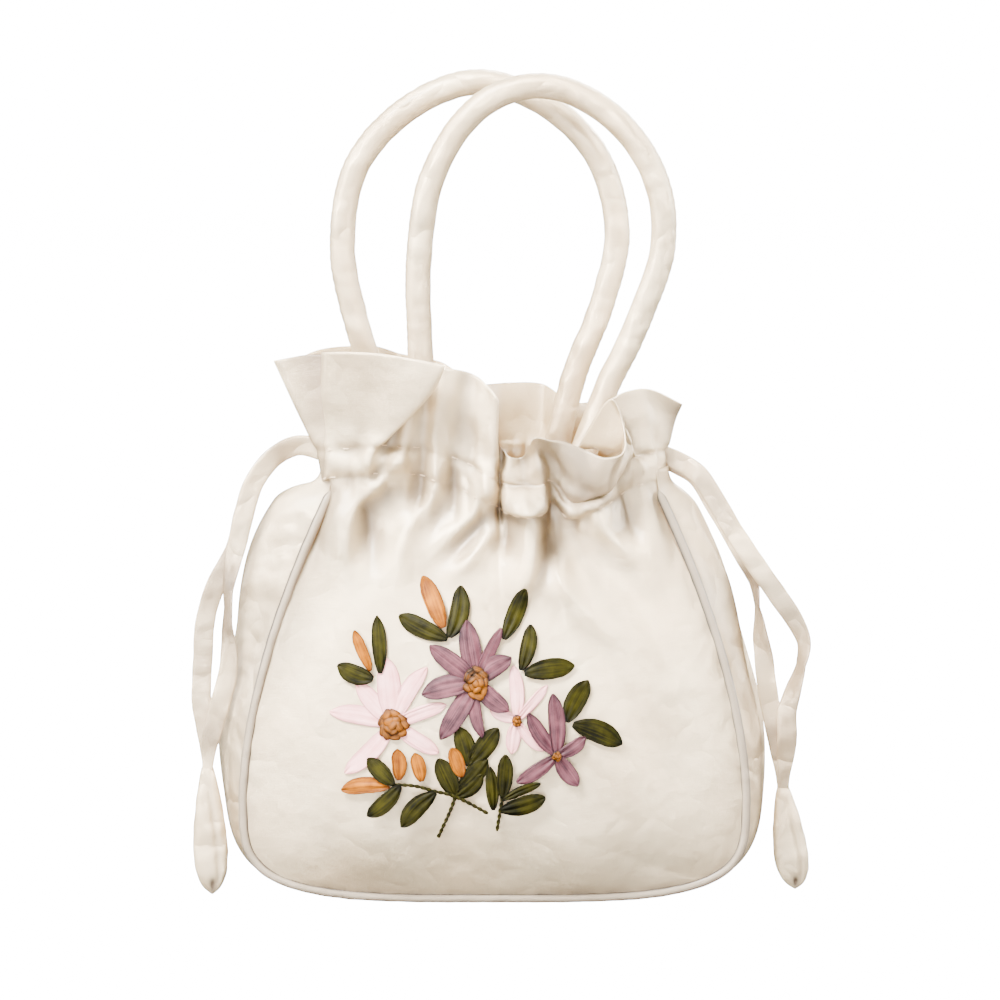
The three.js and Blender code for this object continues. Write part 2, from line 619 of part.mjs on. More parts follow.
// A place of the bouquet on the front, which sits a little higher on the belly than above it
function onFront(x, z, lift) {
  const onBelly = smoothstep(BOUQUET_RISE_FROM - z, 0, BOUQUET_RISE_SPAN);
  const high = z + BOUQUET_RISE * onBelly;
  return new THREE.Vector3(x, -panelDepth(FRONT, x, high) - lift, high);
}

// Piping line from the left neck down, along the base and up to the right neck
function pipingLine(top) {
  const side = [...Array(SIDE_SAMPLES).keys()].map((i) => lerp(top, PANEL_WIDEST_AT, i / SIDE_SAMPLES));
  const turns = [...Array(CORNER_SAMPLES + 1).keys()].map((i) => (Math.PI * i) / CORNER_SAMPLES);
  const power = 2 / BOTTOM_ROUNDNESS;
  const points = [
    ...side.map((z) => [-sideHalfWidth(z), z]),
    ...turns.map((turn) => [
      -PANEL_HALF_WIDTH * Math.sign(Math.cos(turn)) * Math.abs(Math.cos(turn)) ** power,
      PANEL_WIDEST_AT - (PANEL_WIDEST_AT - PANEL_BOTTOM) * Math.sin(turn) ** power,
    ]),
    ...side.reverse().map((z) => [sideHalfWidth(z), z]),
  ];
  return new THREE.CatmullRomCurve3(points.map(([x, z]) => new THREE.Vector3(x, 0, z)));
}

// Pieces

// Places across a panel, from -1 at its left piping to 1 at its right, on the folds of the neck and between
function panelColumns(side) {
  const folds = side.collar.map((row) => row.neckX).filter((x) => Math.abs(x) < PANEL_TOP_HALF_WIDTH - 2);
  const stations = [-PANEL_TOP_HALF_WIDTH, ...folds, PANEL_TOP_HALF_WIDTH];
  const columns = folds.concat(PANEL_TOP_HALF_WIDTH).flatMap((x, k) => {
    const run = Math.hypot(x - stations[k], side.neck(x).z - side.neck(stations[k]).z);
    const count = Math.ceil(run / PANEL_COLUMN);
    return [...Array(count).keys()].map((i) => lerp(stations[k], x, i / count));
  });
  return [...columns, PANEL_TOP_HALF_WIDTH].map((x) => (-side.sign * x) / PANEL_TOP_HALF_WIDTH);
}

// Keeps a panel's edge clear of its piping without moving its middle
function panelWidth(halfWidth, across) {
  return across * (halfWidth - PIPING_CLEARANCE * across ** 6);
}

function panel(side, rows) {
  const low = PANEL_WIDEST_AT - PANEL_BOTTOM - PIPING_CLEARANCE;
  const levels = [...Array(rows.low + rows.high + 1).keys()].map((i) => (
    i < rows.low ? i / rows.low - 1 : (i - rows.low) / rows.high
  ));
  const columns = panelColumns(side);
  const grid = levels.map((level) => columns.map((across) => {
    if (level < 0) {
      const square = Math.max(Math.abs(across), -level);
      const sum = Math.abs(across) ** BOTTOM_ROUNDNESS + (-level) ** BOTTOM_ROUNDNESS;
      const share = square / sum ** (1 / BOTTOM_ROUNDNESS);
      const x = panelWidth(PANEL_HALF_WIDTH, across) * share;
      const z = PANEL_WIDEST_AT + low * level * share;
      return new THREE.Vector3(x, side.sign * panelDepth(side, x, z), z);
    }
    const z = lerp(PANEL_WIDEST_AT, side.neck(across * PANEL_TOP_HALF_WIDTH).z, level);
    const x = panelWidth(sideHalfWidth(z), across);
    return new THREE.Vector3(x, side.sign * panelDepth(side, x, z), z);
  }));
  return shell(grid);
}

function gussetBulge(x, z) {
  const shoulder = x < 0 ? LEFT_SHOULDER : RIGHT_SHOULDER;
  const hip = x < 0 ? LEFT_HIP : RIGHT_HIP;
  const side = GUSSET_BULGE
    + shoulder * Math.exp(-(((z - SHOULDER_AT) / SHOULDER_SPREAD) ** 2))
    + hip * Math.exp(-(((z - HIP_AT) / HIP_SPREAD) ** 2));
  return lerp(side, GUSSET_NECK_BULGE, smoothstep(z, NECK_DRAWN_FROM, GUSSET_TOP));
}

function gusset() {
  const line = pipingLine(GUSSET_TOP);
  const shares = [...Array(GUSSET_STEPS + 1).keys()].map((i) => i / GUSSET_STEPS);
  const grid = [...Array(GUSSET_ACROSS + 1).keys()].map((k) => shares.map((share) => {
    const across = 1 - (2 * k) / GUSSET_ACROSS;
    const seam = line.getPointAt(share);
    const along = line.getTangentAt(share);
    const bulge = gussetBulge(seam.x, seam.z) * (1 - across ** 2);
    const halfDepth = pipingDepth(seam.z) - PIPING_CLEARANCE;
    const end = share === 0 || share === 1;
    return new THREE.Vector3(
      seam.x + along.z * bulge,
      across * halfDepth,
      end ? GUSSET_TOP : Math.max(0, seam.z - along.x * bulge),
    );
  }));
  return shell(grid);
}

function piping(side) {
  const line = pipingLine(PIPING_TOP).getSpacedPoints(PIPING_STEPS * 2);
  const path = new THREE.CatmullRomCurve3(
    line.map((point) => new THREE.Vector3(point.x, side.sign * pipingDepth(point.z), point.z)),
  );
  return tube(path, PIPING_D, PIPING_STEPS, PIPING_SIDES);
}

function collar(side) {
  const at = (x, out, z) => new THREE.Vector3(x, side.sign * out, z);
  const rows = side.sign < 0 ? side.collar : [...side.collar].reverse();
  const neck = new THREE.CatmullRomCurve3(rows.map((row) => at(row.neckX, row.neckOut, row.neckZ)));
  const edge = new THREE.CatmullRomCurve3(rows.map((row) => at(row.topX, row.topOut, row.topZ)));
  const steps = (rows.length - 1) * side.steps;
  const columns = [...Array(steps + 1).keys()].map((i) => {
    const low = Math.min(Math.floor(i / side.steps), rows.length - 2);
    const share = i / side.steps - low;
    const flare = lerp(rows[low].flare, rows[low + 1].flare, share);
    const puff = lerp(rows[low].puff, rows[low + 1].puff, share);
    const seam = neck.getTangent(i / steps);
    const upwards = at(-seam.z, 0, seam.x).multiplyScalar(-side.sign).normalize();
    const foot = neck.getPoint(i / steps).addScaledVector(upwards, COLLAR_GAP);
    const top = edge.getPoint(i / steps);
    const casing = foot.clone().lerp(top, CASING_LEAN).setZ(foot.z + CASING_HEIGHT);
    const swollen = foot.clone().lerp(casing, PUFF_AT).add(at(0, puff, 0));
    const upright = casing.clone().setZ(casing.z + RUFFLE_FLARE * casing.distanceTo(top));
    const bend = casing.clone().lerp(top, 0.5).lerp(upright, Math.min(1, flare / RUFFLE_FLARE));
    const ruffle = new THREE.QuadraticBezierCurve3(casing, bend, top);
    return [foot, swollen, ...ruffle.getPoints(RUFFLE_ROWS)];
  });
  return shell(columns[0].map((_, row) => columns.map((column) => column[row])));
}

function handle(rows) {
  const path = new THREE.CatmullRomCurve3(rows.map(({ x, y, z }) => new THREE.Vector3(x, y, z)));
  return tube(path, HANDLE_D, HANDLE_STEPS, HANDLE_SIDES);
}

// A flat ribbon along its route
function strand(rows) {
  const path = new THREE.CatmullRomCurve3(rows.map(({ x, y, z }) => new THREE.Vector3(x, y, z)));
  const depth = new THREE.Vector3(0, 1, 0);
  const section = [
    [-1, -0.4], [-0.85, -1], [0.85, -1], [1, -0.4],
    [1, 0.4], [0.85, 1], [-0.85, 1], [-1, 0.4],
  ];
  const rings = [...Array(STRAND_STEPS + 1).keys()].map((i) => {
    const share = i / STRAND_STEPS;
    const place = share * (rows.length - 1);
    const low = Math.min(Math.floor(place), rows.length - 2);
    const roll = degToRad(lerp(rows[low].roll, rows[low + 1].roll, place - low));
    const along = path.getTangent(share);
    const wide = new THREE.Vector3().crossVectors(along, depth).normalize().applyAxisAngle(along, roll);
    const thick = new THREE.Vector3().crossVectors(along, wide);
    return section.map(([w, t]) => path.getPoint(share)
      .addScaledVector(wide, (w * RIBBON_WIDTH) / 2)
      .addScaledVector(thick, (t * RIBBON_THICK) / 2));
  });
  return skin(rings);
}

function tab(place) {
  const top = new THREE.Vector3(place.topX, place.topY, place.topZ);
  const tip = new THREE.Vector3(place.tipX, place.tipY, place.tipZ);
  return skin(TAB_SHAPE.map(({ along, wide, thick }) => [...Array(TAB_SIDES).keys()].map((i) => {
    const turn = (2 * Math.PI * i) / TAB_SIDES;
    return top.clone().lerp(tip, along).add(new THREE.Vector3(
      (Math.cos(turn) * wide * TAB_WIDTH) / 2,
      (Math.sin(turn) * thick * TAB_THICK) / 2,
      0,
    ));
  })));
}

// One ribbon stitch lying on the front panel
function stitch(baseX, baseZ, tipX, tipZ, width, layer) {
  const run = new THREE.Vector2(tipX - baseX, tipZ - baseZ);
  const aside = new THREE.Vector2(-run.y, run.x).normalize();
  const lift = SEAM_GAP + layer * LAYER_STEP;
  return skin(STITCH_SHAPE.map(({ along, wide }) => {
    const x = baseX + run.x * along;
    const z = baseZ + run.y * along;
    const half = (wide * width) / 2;
    return [
      onFront(x + aside.x * half, z + aside.y * half, lift),
      onFront(x - aside.x * half, z - aside.y * half, lift),
      onFront(x, z, lift + STITCH_CROWN),
    ];
  }));
}

function stem(points, layer) {
  const path = new THREE.CatmullRomCurve3(points.map(({ x, z }) => new THREE.Vector3(x, 0, z)));
  const steps = points.length;
  const lift = SEAM_GAP + layer * LAYER_STEP;
  return skin([...Array(steps + 1).keys()].map((i) => {
    const { x, z } = path.getPoint(i / steps);
    const along = path.getTangent(i / steps);
    const half = STEM_WIDTH / 2;
    return [
      onFront(x - along.z * half, z + along.x * half, lift),
      onFront(x + along.z * half, z - along.x * half, lift),
      onFront(x, z, lift + STEM_HEIGHT),
    ];
  }));
}

// Petals sewn down round a small flat hub
function flower({ x, z, petals, layer }) {
  const lift = SEAM_GAP + layer * LAYER_STEP;
  const hub = skin([-0.05, STITCH_CROWN - 0.1].map((rise) => [...Array(HUB_SIDES).keys()].map((i) => {
    const turn = (2 * Math.PI * (i + 0.5)) / HUB_SIDES;
    return onFront(x + Math.cos(turn) * HUB_RADIUS, z + Math.sin(turn) * HUB_RADIUS, lift + rise);
  })));
  return fuse([hub, ...petals.map((petal) => stitch(x, z, petal.x, petal.z, petal.width, layer))]);
}

// A domed knot of folded ribbon over the meeting point of the petals
function knot({ x, z, knotWide, knotTall, layer }) {
  const base = 2 * SEAM_GAP + layer * LAYER_STEP + STITCH_CROWN;
  const height = Math.min(KNOT_HEIGHT, knotWide * KNOT_HEIGHT_SHARE);
  return skin(KNOT_DOME.map(({ share, rise }) => [...Array(KNOT_SIDES).keys()].map((i) => {
    const turn = (2 * Math.PI * i) / KNOT_SIDES;
    const px = x + (Math.cos(turn) * share * knotWide) / 2;
    const pz = z + (Math.sin(turn) * share * knotTall) / 2;
    return onFront(px, pz, base + rise * height);
  })));
}

function spray({ stems, leaves, layer }) {
  return fuse([
    ...stems.map((points) => stem(points, layer)),
    ...leaves.map((leaf) => stitch(leaf.baseX, leaf.baseZ, leaf.tipX, leaf.tipZ, leaf.width, layer)),
  ]);
}

// Assembly

const bag = new THREE.Group();

function add(name, geometry, colour, roughness) {
  const material = new THREE.MeshStandardMaterial({ color: colour, roughness, metalness: 0 });
  const mesh = new THREE.Mesh(geometry, material);
  mesh.name = name;
  bag.add(mesh);
}

const SATIN = 0xece2d6;
const SATIN_ROUGHNESS = 0.4;
const PIPING_COLOUR = 0xd8cfc4;
const LEAF_GREEN = 0x5d6b34;
const BUD_ORANGE = 0xe3ad72;
const KNOT_GOLD = 0xc59a55;
const THREAD_ROUGHNESS = 0.55;

add('front_panel', panel(FRONT, FRONT_ROWS), SATIN, SATIN_ROUGHNESS);
add('back_panel', panel(BACK, BACK_ROWS), SATIN, SATIN_ROUGHNESS);
add('gusset', gusset(), SATIN, SATIN_ROUGHNESS);
add('front_piping', piping(FRONT), PIPING_COLOUR, SATIN_ROUGHNESS);
add('back_piping', piping(BACK), PIPING_COLOUR, SATIN_ROUGHNESS);
add('front_collar', collar(FRONT), SATIN, SATIN_ROUGHNESS);
add('back_collar', collar(BACK), SATIN, SATIN_ROUGHNESS);
add('front_handle', handle(FRONT_HANDLE), SATIN, SATIN_ROUGHNESS);
add('back_handle', handle(BACK_HANDLE), SATIN, SATIN_ROUGHNESS);
add('left_strand_front', strand(LEFT_STRAND_FRONT), SATIN, SATIN_ROUGHNESS);
add('left_strand_back', strand(LEFT_STRAND_BACK), SATIN, SATIN_ROUGHNESS);
add('right_strand_front', strand(RIGHT_STRAND_FRONT), SATIN, SATIN_ROUGHNESS);
add('right_strand_back', strand(RIGHT_STRAND_BACK), SATIN, SATIN_ROUGHNESS);
add('left_tab', tab(LEFT_TAB), SATIN, SATIN_ROUGHNESS);
add('right_tab', tab(RIGHT_TAB), SATIN, SATIN_ROUGHNESS);

for (const bloom of FLOWERS) {
  add(bloom.name, flower(bloom), bloom.colour, THREAD_ROUGHNESS);
  add(`${bloom.name}_knot`, knot(bloom), KNOT_GOLD, THREAD_ROUGHNESS);
}
for (const leaves of SPRAYS) {
  add(leaves.name, spray(leaves), LEAF_GREEN, THREAD_ROUGHNESS);
}
for (const bud of BUDS) {
  const shape = stitch(bud.baseX, bud.baseZ, bud.tipX, bud.tipZ, bud.width, BUD_LAYER);
  add(bud.name, shape, BUD_ORANGE, THREAD_ROUGHNESS);
}

export default bag;
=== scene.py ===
import bmesh
import bpy
import numpy as np
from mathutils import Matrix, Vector


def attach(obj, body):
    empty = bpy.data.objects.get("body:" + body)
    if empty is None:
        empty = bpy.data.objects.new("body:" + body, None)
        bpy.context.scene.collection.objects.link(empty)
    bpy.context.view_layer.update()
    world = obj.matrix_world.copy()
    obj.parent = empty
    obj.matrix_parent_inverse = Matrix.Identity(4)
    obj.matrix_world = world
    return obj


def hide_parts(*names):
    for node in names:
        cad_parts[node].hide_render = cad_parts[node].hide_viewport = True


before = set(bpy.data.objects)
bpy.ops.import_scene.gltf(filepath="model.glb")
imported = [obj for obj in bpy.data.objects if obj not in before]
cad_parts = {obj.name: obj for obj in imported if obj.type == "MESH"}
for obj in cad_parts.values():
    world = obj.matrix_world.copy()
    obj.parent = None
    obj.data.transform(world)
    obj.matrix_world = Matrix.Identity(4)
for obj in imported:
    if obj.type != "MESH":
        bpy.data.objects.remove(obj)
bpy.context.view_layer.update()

# Satin drawstring handbag with a ribbon-embroidered front.
# Tables and shape functions are in millimetres; meshes are made in metres.

MM = 0.001
UV_UNIT = 10.0

# Cloth and seams
WALL = 0.6
RIBBON_WALL = 0.22
PIPING_D = 3.8
PIPING_TOP = 165.5
SEAM_TUCK = 0.9
TUCK_POWER = 6

# Outline of a panel, taken on the centre line of its piping
PANEL_HALF_WIDTH = 101.0
PANEL_WIDEST_AT = 43.0
PANEL_BOTTOM = 2.7
PANEL_TOP_HALF_WIDTH = 66.0
PANEL_TOP = 165.0
SIDE_TAPER = 1.7
BOTTOM_ROUNDNESS = 3.8

# Depth of the body, from its middle plane
BASE_HALF_DEPTH = 36.0
NECK_HALF_DEPTH = 13.0
DEPTH_TAPER = 2.2
BELLY = 17.0
NECK_BELLY = 6.0
BELLY_RISE = 0.75
BELLY_EDGE = 2.5
GATHER_FROM = 0.5
GATHER_GROWTH = 2.2

# Gusset: bulge outside the piping, larger at the left shoulder and hip
GUSSET_TOP = 174.0
GUSSET_BULGE = 9.0
LEFT_SHOULDER = 12.0
RIGHT_SHOULDER = 3.0
SHOULDER_AT = 135.0
SHOULDER_SPREAD = 40.0
LEFT_HIP = 5.0
RIGHT_HIP = 2.5
HIP_AT = 68.0
HIP_SPREAD = 26.0
GUSSET_NECK_BULGE = 4.0
NECK_DRAWN_FROM = 152.0

# Collar: stitched casing, with the ruffle above it
CASING_HEIGHT = 12.0
CASING_LEAN = 0.12
RUFFLE_FLARE = 0.45
DROOP_OUT = 0.8
DROOP_LOWERS = 0.55

# Handles, drawstrings and tabs
HANDLE_D = 10.4
RIBBON_WIDTH = 8.0
RIBBON_THICK = 1.3
TAB_WIDTH = 14.4
TAB_THICK = 8.6

# Ribbon embroidery, in layers on the front panel
LAYER_LIFT = 0.35
LAYER_STEP = 1.0

# The bouquet sits a little higher on the belly than on the flatter cloth above
BOUQUET_RISE = 3.1
BOUQUET_RISE_FROM = 120.0
BOUQUET_RISE_SPAN = 28.0

# Folds of the front: height out of the cloth, width to the left and to the right, line of x and z
FRONT_FOLDS = [
    (6.5, 9, 5, [(-37, 184), (-44, 172), (-56, 160), (-59, 146), (-60, 124)]),
    (-4.5, 5, 5, [(-45, 178), (-52, 166), (-50, 150), (-49, 130)]),
    (-5, 6, 5, [(-30.4, 192), (-28, 180), (-29, 167), (-35, 150)]),
    (5, 7, 6, [(-24, 188), (-24, 174), (-26, 164), (-35, 150), (-41, 118)]),
    (-3, 7, 7, [(-13.6, 194), (-15.6, 177), (-20, 160), (-29, 140)]),
    (4.5, 8, 5, [(-4, 186), (-4.4, 170), (-8, 158), (-19, 148), (-32, 134)]),
    (-2.5, 5, 5, [(-2, 160), (-10, 148), (-22, 136)]),
    (3, 5, 5, [(1, 153), (-7, 143.6), (-18, 130)]),
    (-5, 6, 5, [(2.4, 160), (4.4, 151.6), (3, 138)]),
    (7, 9, 3.5, [(14.5, 160), (15.6, 149.6), (14.4, 137.6), (9, 118)]),
    (-6, 4, 8, [(21, 159), (21.6, 145), (20, 126)]),
    (3.5, 6, 6, [(22, 141), (27, 131), (37, 119), (50, 104)]),
    (-2, 6, 6, [(31, 152), (36, 138), (46, 122)]),
    (5, 6, 4.5, [(41, 162), (44, 152), (50.4, 145), (55, 134)]),
    (-3, 5, 5, [(50, 166), (54, 156), (58, 142)]),
    (3, 7, 6, [(62, 166), (62, 150), (61, 124)]),
    (3, 5, 5, [(-67.6, 168), (-63, 154), (-62, 134)]),
    (-2.6, 16, 13, [(-62, 152), (-70, 122), (-80, 90), (-86, 66)]),
    (1.8, 12, 7, [(44, 136), (60, 116), (71, 90), (77, 56)]),
    (-1.6, 12, 12, [(26, 128), (44, 104), (58, 76), (64, 46)]),
]
BACK_FOLDS = [
    (3, 7, 7, [(-45, 176), (-50, 156), (-58, 128)]),
    (-3, 6, 6, [(-14, 176), (-16, 156), (-20, 132)]),
    (3.5, 7, 5, [(12, 176), (13, 150), (16, 120)]),
    (-2.5, 5, 5, [(28, 176), (31, 156), (34, 134)]),
    (3, 7, 7, [(44, 176), (48, 156), (56, 130)]),
]

# Collar stations: neck x, neck out, neck z, top x, top out, top z, flare of the ruffle, puff of the casing
# and droop, by which the ruffle hangs out over the casing
FRONT_COLLAR = np.array([
    (-70.5, 4.6, 168.5, -89, 5, 217, 0, 0, 0),
    (-70, 7, 168.6, -74, 4, 219.5, 0, 0, 0),
    (-69.2, 9.5, 168.8, -62, 8, 219.5, 0, 0, 0),
    (-67.5, 14.5, 170, -69, 25, 222.6, 0.1, 1, 0),
    (-58, 19, 171.2, -46, 32, 223, 0.1, 1.5, 0),
    (-51, 23, 172.6, -19.7, 37, 218.6, -0.2, 1, 0),
    (-44, 18, 172.8, -30, 25, 216.5, 0.1, 0.5, 0),
    (-36, 21.5, 172.6, -29, 21, 216.5, 0.3, 2, 0),
    (-29.5, 19, 171.5, -25, 19, 216.5, 0.4, 0, 0),
    (-24, 21, 170, -20, 23, 216.3, 0.4, 0.5, 0),
    (-14, 19.5, 166.5, -11, 21, 214.2, 0.4, 0, 0),
    (-6, 23, 163, -4, 26, 209.8, 0.4, 0.5, 0),
    (-0.5, 25, 160.5, 1.2, 31, 204, 0.4, 1, 0),
    (2, 19, 158, 3, 19, 183, 0.3, 1, 0),
    (4.5, 24, 157.5, 6, 24, 180.5, 0.2, 8, 0),
    (12, 24, 157, 10.5, 22.5, 180, 0.1, 11, 0),
    (20, 24, 157.5, 16, 34, 189.5, 0.2, 9, 0),
    (23, 18, 160, 21, 29, 188.5, 0.4, 1, 3),
    (30, 19.5, 154.4, 28, 26, 187, 0.4, 5, 7),
    (38, 22, 157.5, 36, 27, 184, 0.4, 3, 11),
    (46, 22, 161, 44, 32, 181.5, 0.4, 2, 11),
    (51, 19, 164, 51, 32, 183.5, 0.4, 1, 5),
    (55, 17.5, 166.5, 51.5, 25, 193, 0.4, 1, 0),
    (57.5, 17, 167.4, 46.5, 19.5, 203.5, 0.3, 1, 0),
    (60, 16.4, 167.8, 32.5, 19, 182, 0.2, 0.5, 0),
    (62.5, 15, 168.2, 47, 15.5, 203, 0.2, 0.5, 0),
    (65, 13, 168.5, 56, 14, 206.5, 0.2, 0.5, 0),
    (67.5, 9, 168.5, 63, 11, 206, 0.1, 0, 0),
    (69.5, 4.6, 168.5, 75.5, 5, 199.5, 0, 0, 0),
])
BACK_COLLAR = np.array([
    (-70.5, 4.6, 168.5, -84, 6, 214, 0.1, 0, 0),
    (-66, 13, 169, -72, 17, 219, 0.2, 1, 0),
    (-52, 20, 169.5, -50, 30, 219, 0.4, 1, 0),
    (-38, 18, 170, -38, 20, 217, 0.4, 1, 0),
    (-24, 23, 169, -22, 33, 212, 0.4, 2, 0),
    (-10, 18, 168, -8, 19, 205, 0.4, 1, 0),
    (4, 23, 167, 6, 29, 204, 0.4, 2, 0),
    (16, 24, 167, 20, 31, 203, 0.4, 2, 0),
    (28, 18, 168, 32, 20, 197, 0.4, 1, 0),
    (42, 22, 169, 44, 30, 196, 0.4, 2, 0),
    (56, 18, 169, 60, 20, 195, 0.4, 1, 0),
    (65, 13, 169, 67, 14, 195, 0.2, 1, 0),
    (69.5, 4.6, 168.5, 74, 5.5, 193, 0.1, 0, 0),
])

# Handle centre lines: x, y, z
FRONT_HANDLE = [
    (-27.5, -10.4, 173),
    (-29.5, -8, 215),
    (-30.3, -8, 258),
    (-24, -9, 293),
    (-5, -9, 319.5),
    (20, -9, 327),
    (46, -9, 315.5),
    (63.5, -8.5, 292),
    (67.5, -8, 265),
    (57.5, -6, 232.5),
    (44, -5, 203),
    (33, -12, 172),
]
BACK_HANDLE = [
    (-39, 10, 174),
    (-46, 8, 200),
    (-56, 7, 231),
    (-61.5, 7, 262),
    (-55.5, 7, 294.5),
    (-34, 7, 318),
    (-7, 7, 328),
    (19, 7, 320),
    (41, 7, 299),
    (49.5, 7, 268),
    (43.8, 7, 239.6),
    (32.6, 8, 210),
    (24, 12, 174),
]

# Drawstring routes: x, y, z, roll of the ribbon's face in degrees
LEFT_STRAND_FRONT = np.array([
    (-67, -1.4, 179, 0),
    (-79.5, -2.2, 182, 0),
    (-89.2, -7, 178, 0),
    (-97.2, -11, 167.5, 0),
    (-101, -14, 155, 0),
    (-103.4, -16, 145, 10),
    (-105.6, -17, 136, 30),
    (-107.2, -18, 125.5, 60),
    (-107.6, -19, 112, 60),
    (-107.2, -20, 101, 30),
    (-108, -20.5, 90.5, 10),
    (-110.4, -21, 81.5, 0),
    (-113, -21.5, 72, 0),
    (-115, -21.8, 64, 0),
    (-116.4, -22, 52.4, 0),
])
LEFT_STRAND_BACK = np.array([
    (-67, 1.4, 179.5, 0),
    (-80, 0.4, 182, 0),
    (-89.6, -3, 177.5, 0),
    (-97.6, -7, 167, 0),
    (-101.6, -10, 154.5, 0),
    (-104, -12, 144, 0),
    (-107.6, -13, 136, 0),
    (-111.6, -13.5, 129, 0),
    (-114.8, -14, 121, 0),
    (-117.2, -15, 111, 0),
    (-118, -16, 99, 0),
    (-118.6, -17, 88.5, 0),
    (-118.8, -18, 79, 0),
    (-117.4, -19, 70.5, 0),
    (-116.6, -19.7, 63, 0),
    (-116.4, -20.2, 52.4, 0),
])
RIGHT_STRAND_FRONT = np.array([
    (66, -1.4, 179, 0),
    (75, -2.2, 175.5, 0),
    (82.4, -6, 171, 0),
    (88, -9, 163, 0),
    (95.2, -12, 150.8, 0),
    (101.4, -14, 141.4, 0),
    (107.4, -15, 132.6, 0),
    (114.4, -15, 122.8, 0),
    (121.2, -15.5, 112.8, 20),
    (125.2, -16, 103.6, 50),
    (124, -17, 94.4, 70),
    (121.2, -17.5, 84.8, 45),
    (118.6, -17.8, 75.2, 15),
    (118.8, -17.6, 65.6, 0),
    (118.2, -16.6, 54.6, 0),
    (117.7, -15.6, 43, 0),
])
RIGHT_STRAND_BACK = np.array([
    (66, 1.4, 178, 0),
    (75.4, 0, 173.5, 0),
    (82.8, -3, 168.5, 0),
    (89.4, -5.5, 158, 0),
    (96.6, -8, 146, 0),
    (101.8, -10, 136, 20),
    (105, -10.5, 127.2, 65),
    (106.6, -10.8, 117.4, 80),
    (108, -11.5, 105.4, 45),
    (109.6, -12.5, 94.2, 5),
    (111.2, -13, 81.6, 0),
    (113.8, -13.3, 69, 0),
    (116.4, -13.6, 56, 0),
    (117.5, -13.8, 42.8, 0),
])

# Tabs: top and tip of the centre line
LEFT_TAB = ((-116.4, -21.1, 53), (-115, -23, 0.6))
RIGHT_TAB = ((117.6, -14.7, 43.4), (123, -16, 0.8))

# Share along a tab, share of its full width, share of its full thickness
TAB_SHAPE = np.array([
    (0, 0.34, 0.4),
    (0.06, 0.46, 0.56),
    (0.25, 0.72, 0.82),
    (0.48, 0.93, 0.98),
    (0.66, 1, 1),
    (0.8, 0.93, 0.92),
    (0.9, 0.7, 0.72),
    (0.96, 0.44, 0.46),
    (1, 0.03, 0.03),
])

# Share along a ribbon stitch, share of its full width
STITCH_SHAPE = np.array([
    (0, 0.24),
    (0.06, 0.43),
    (0.18, 0.72),
    (0.35, 0.95),
    (0.55, 1),
    (0.73, 0.92),
    (0.86, 0.69),
    (0.95, 0.37),
    (1, 0.07),
])

# Flowers: centre x and z, layer, knot width and height; petals: tip x, tip z, width
FLOWERS = {
    "mauve_flower_large": {
        "at": (-7.2, 90.9), "layer": 2, "knot": (10, 14.5), "ribbon": "mauve_ribbon",
        "petals": [
            (-11, 117.5, 7.6), (2.6, 114.3, 5.2), (6.7, 101.3, 7.4), (5.6, 79.8, 7.6),
            (-4.8, 69.4, 5.6), (-21.4, 68.5, 6.8), (-28.8, 86, 7.6), (-25.6, 106.7, 7.4),
        ],
    },
    "mauve_flower_small": {
        "at": (24.7, 61.9), "layer": 2, "knot": (4.6, 5), "ribbon": "mauve_ribbon",
        "petals": [(23, 86.4, 6.8), (13.2, 78.9, 6), (36, 69.2, 6), (33.2, 49.9, 6), (8.8, 51.6, 6)],
    },
    "pink_flower_large": {
        "at": (-40.2, 73.5), "layer": 0, "knot": (12, 12), "ribbon": "pink_ribbon",
        "petals": [
            (-42.7, 99.6, 8.4), (-26.8, 96.4, 6), (-19, 81.8, 6), (-22.2, 62.7, 7.2),
            (-59.4, 53.8, 7.2), (-65.6, 77.7, 6.4), (-54.8, 89.3, 6.4),
        ],
    },
    "pink_flower_small": {
        "at": (8.8, 75.7), "layer": 0, "knot": (4.4, 6), "ribbon": "pink_ribbon",
        "petals": [(7.6, 97.2, 5), (21, 89.3, 4.5), (-1.8, 80.2, 5.2), (6.7, 62.7, 5), (19.4, 63.5, 4.6)],
    },
}

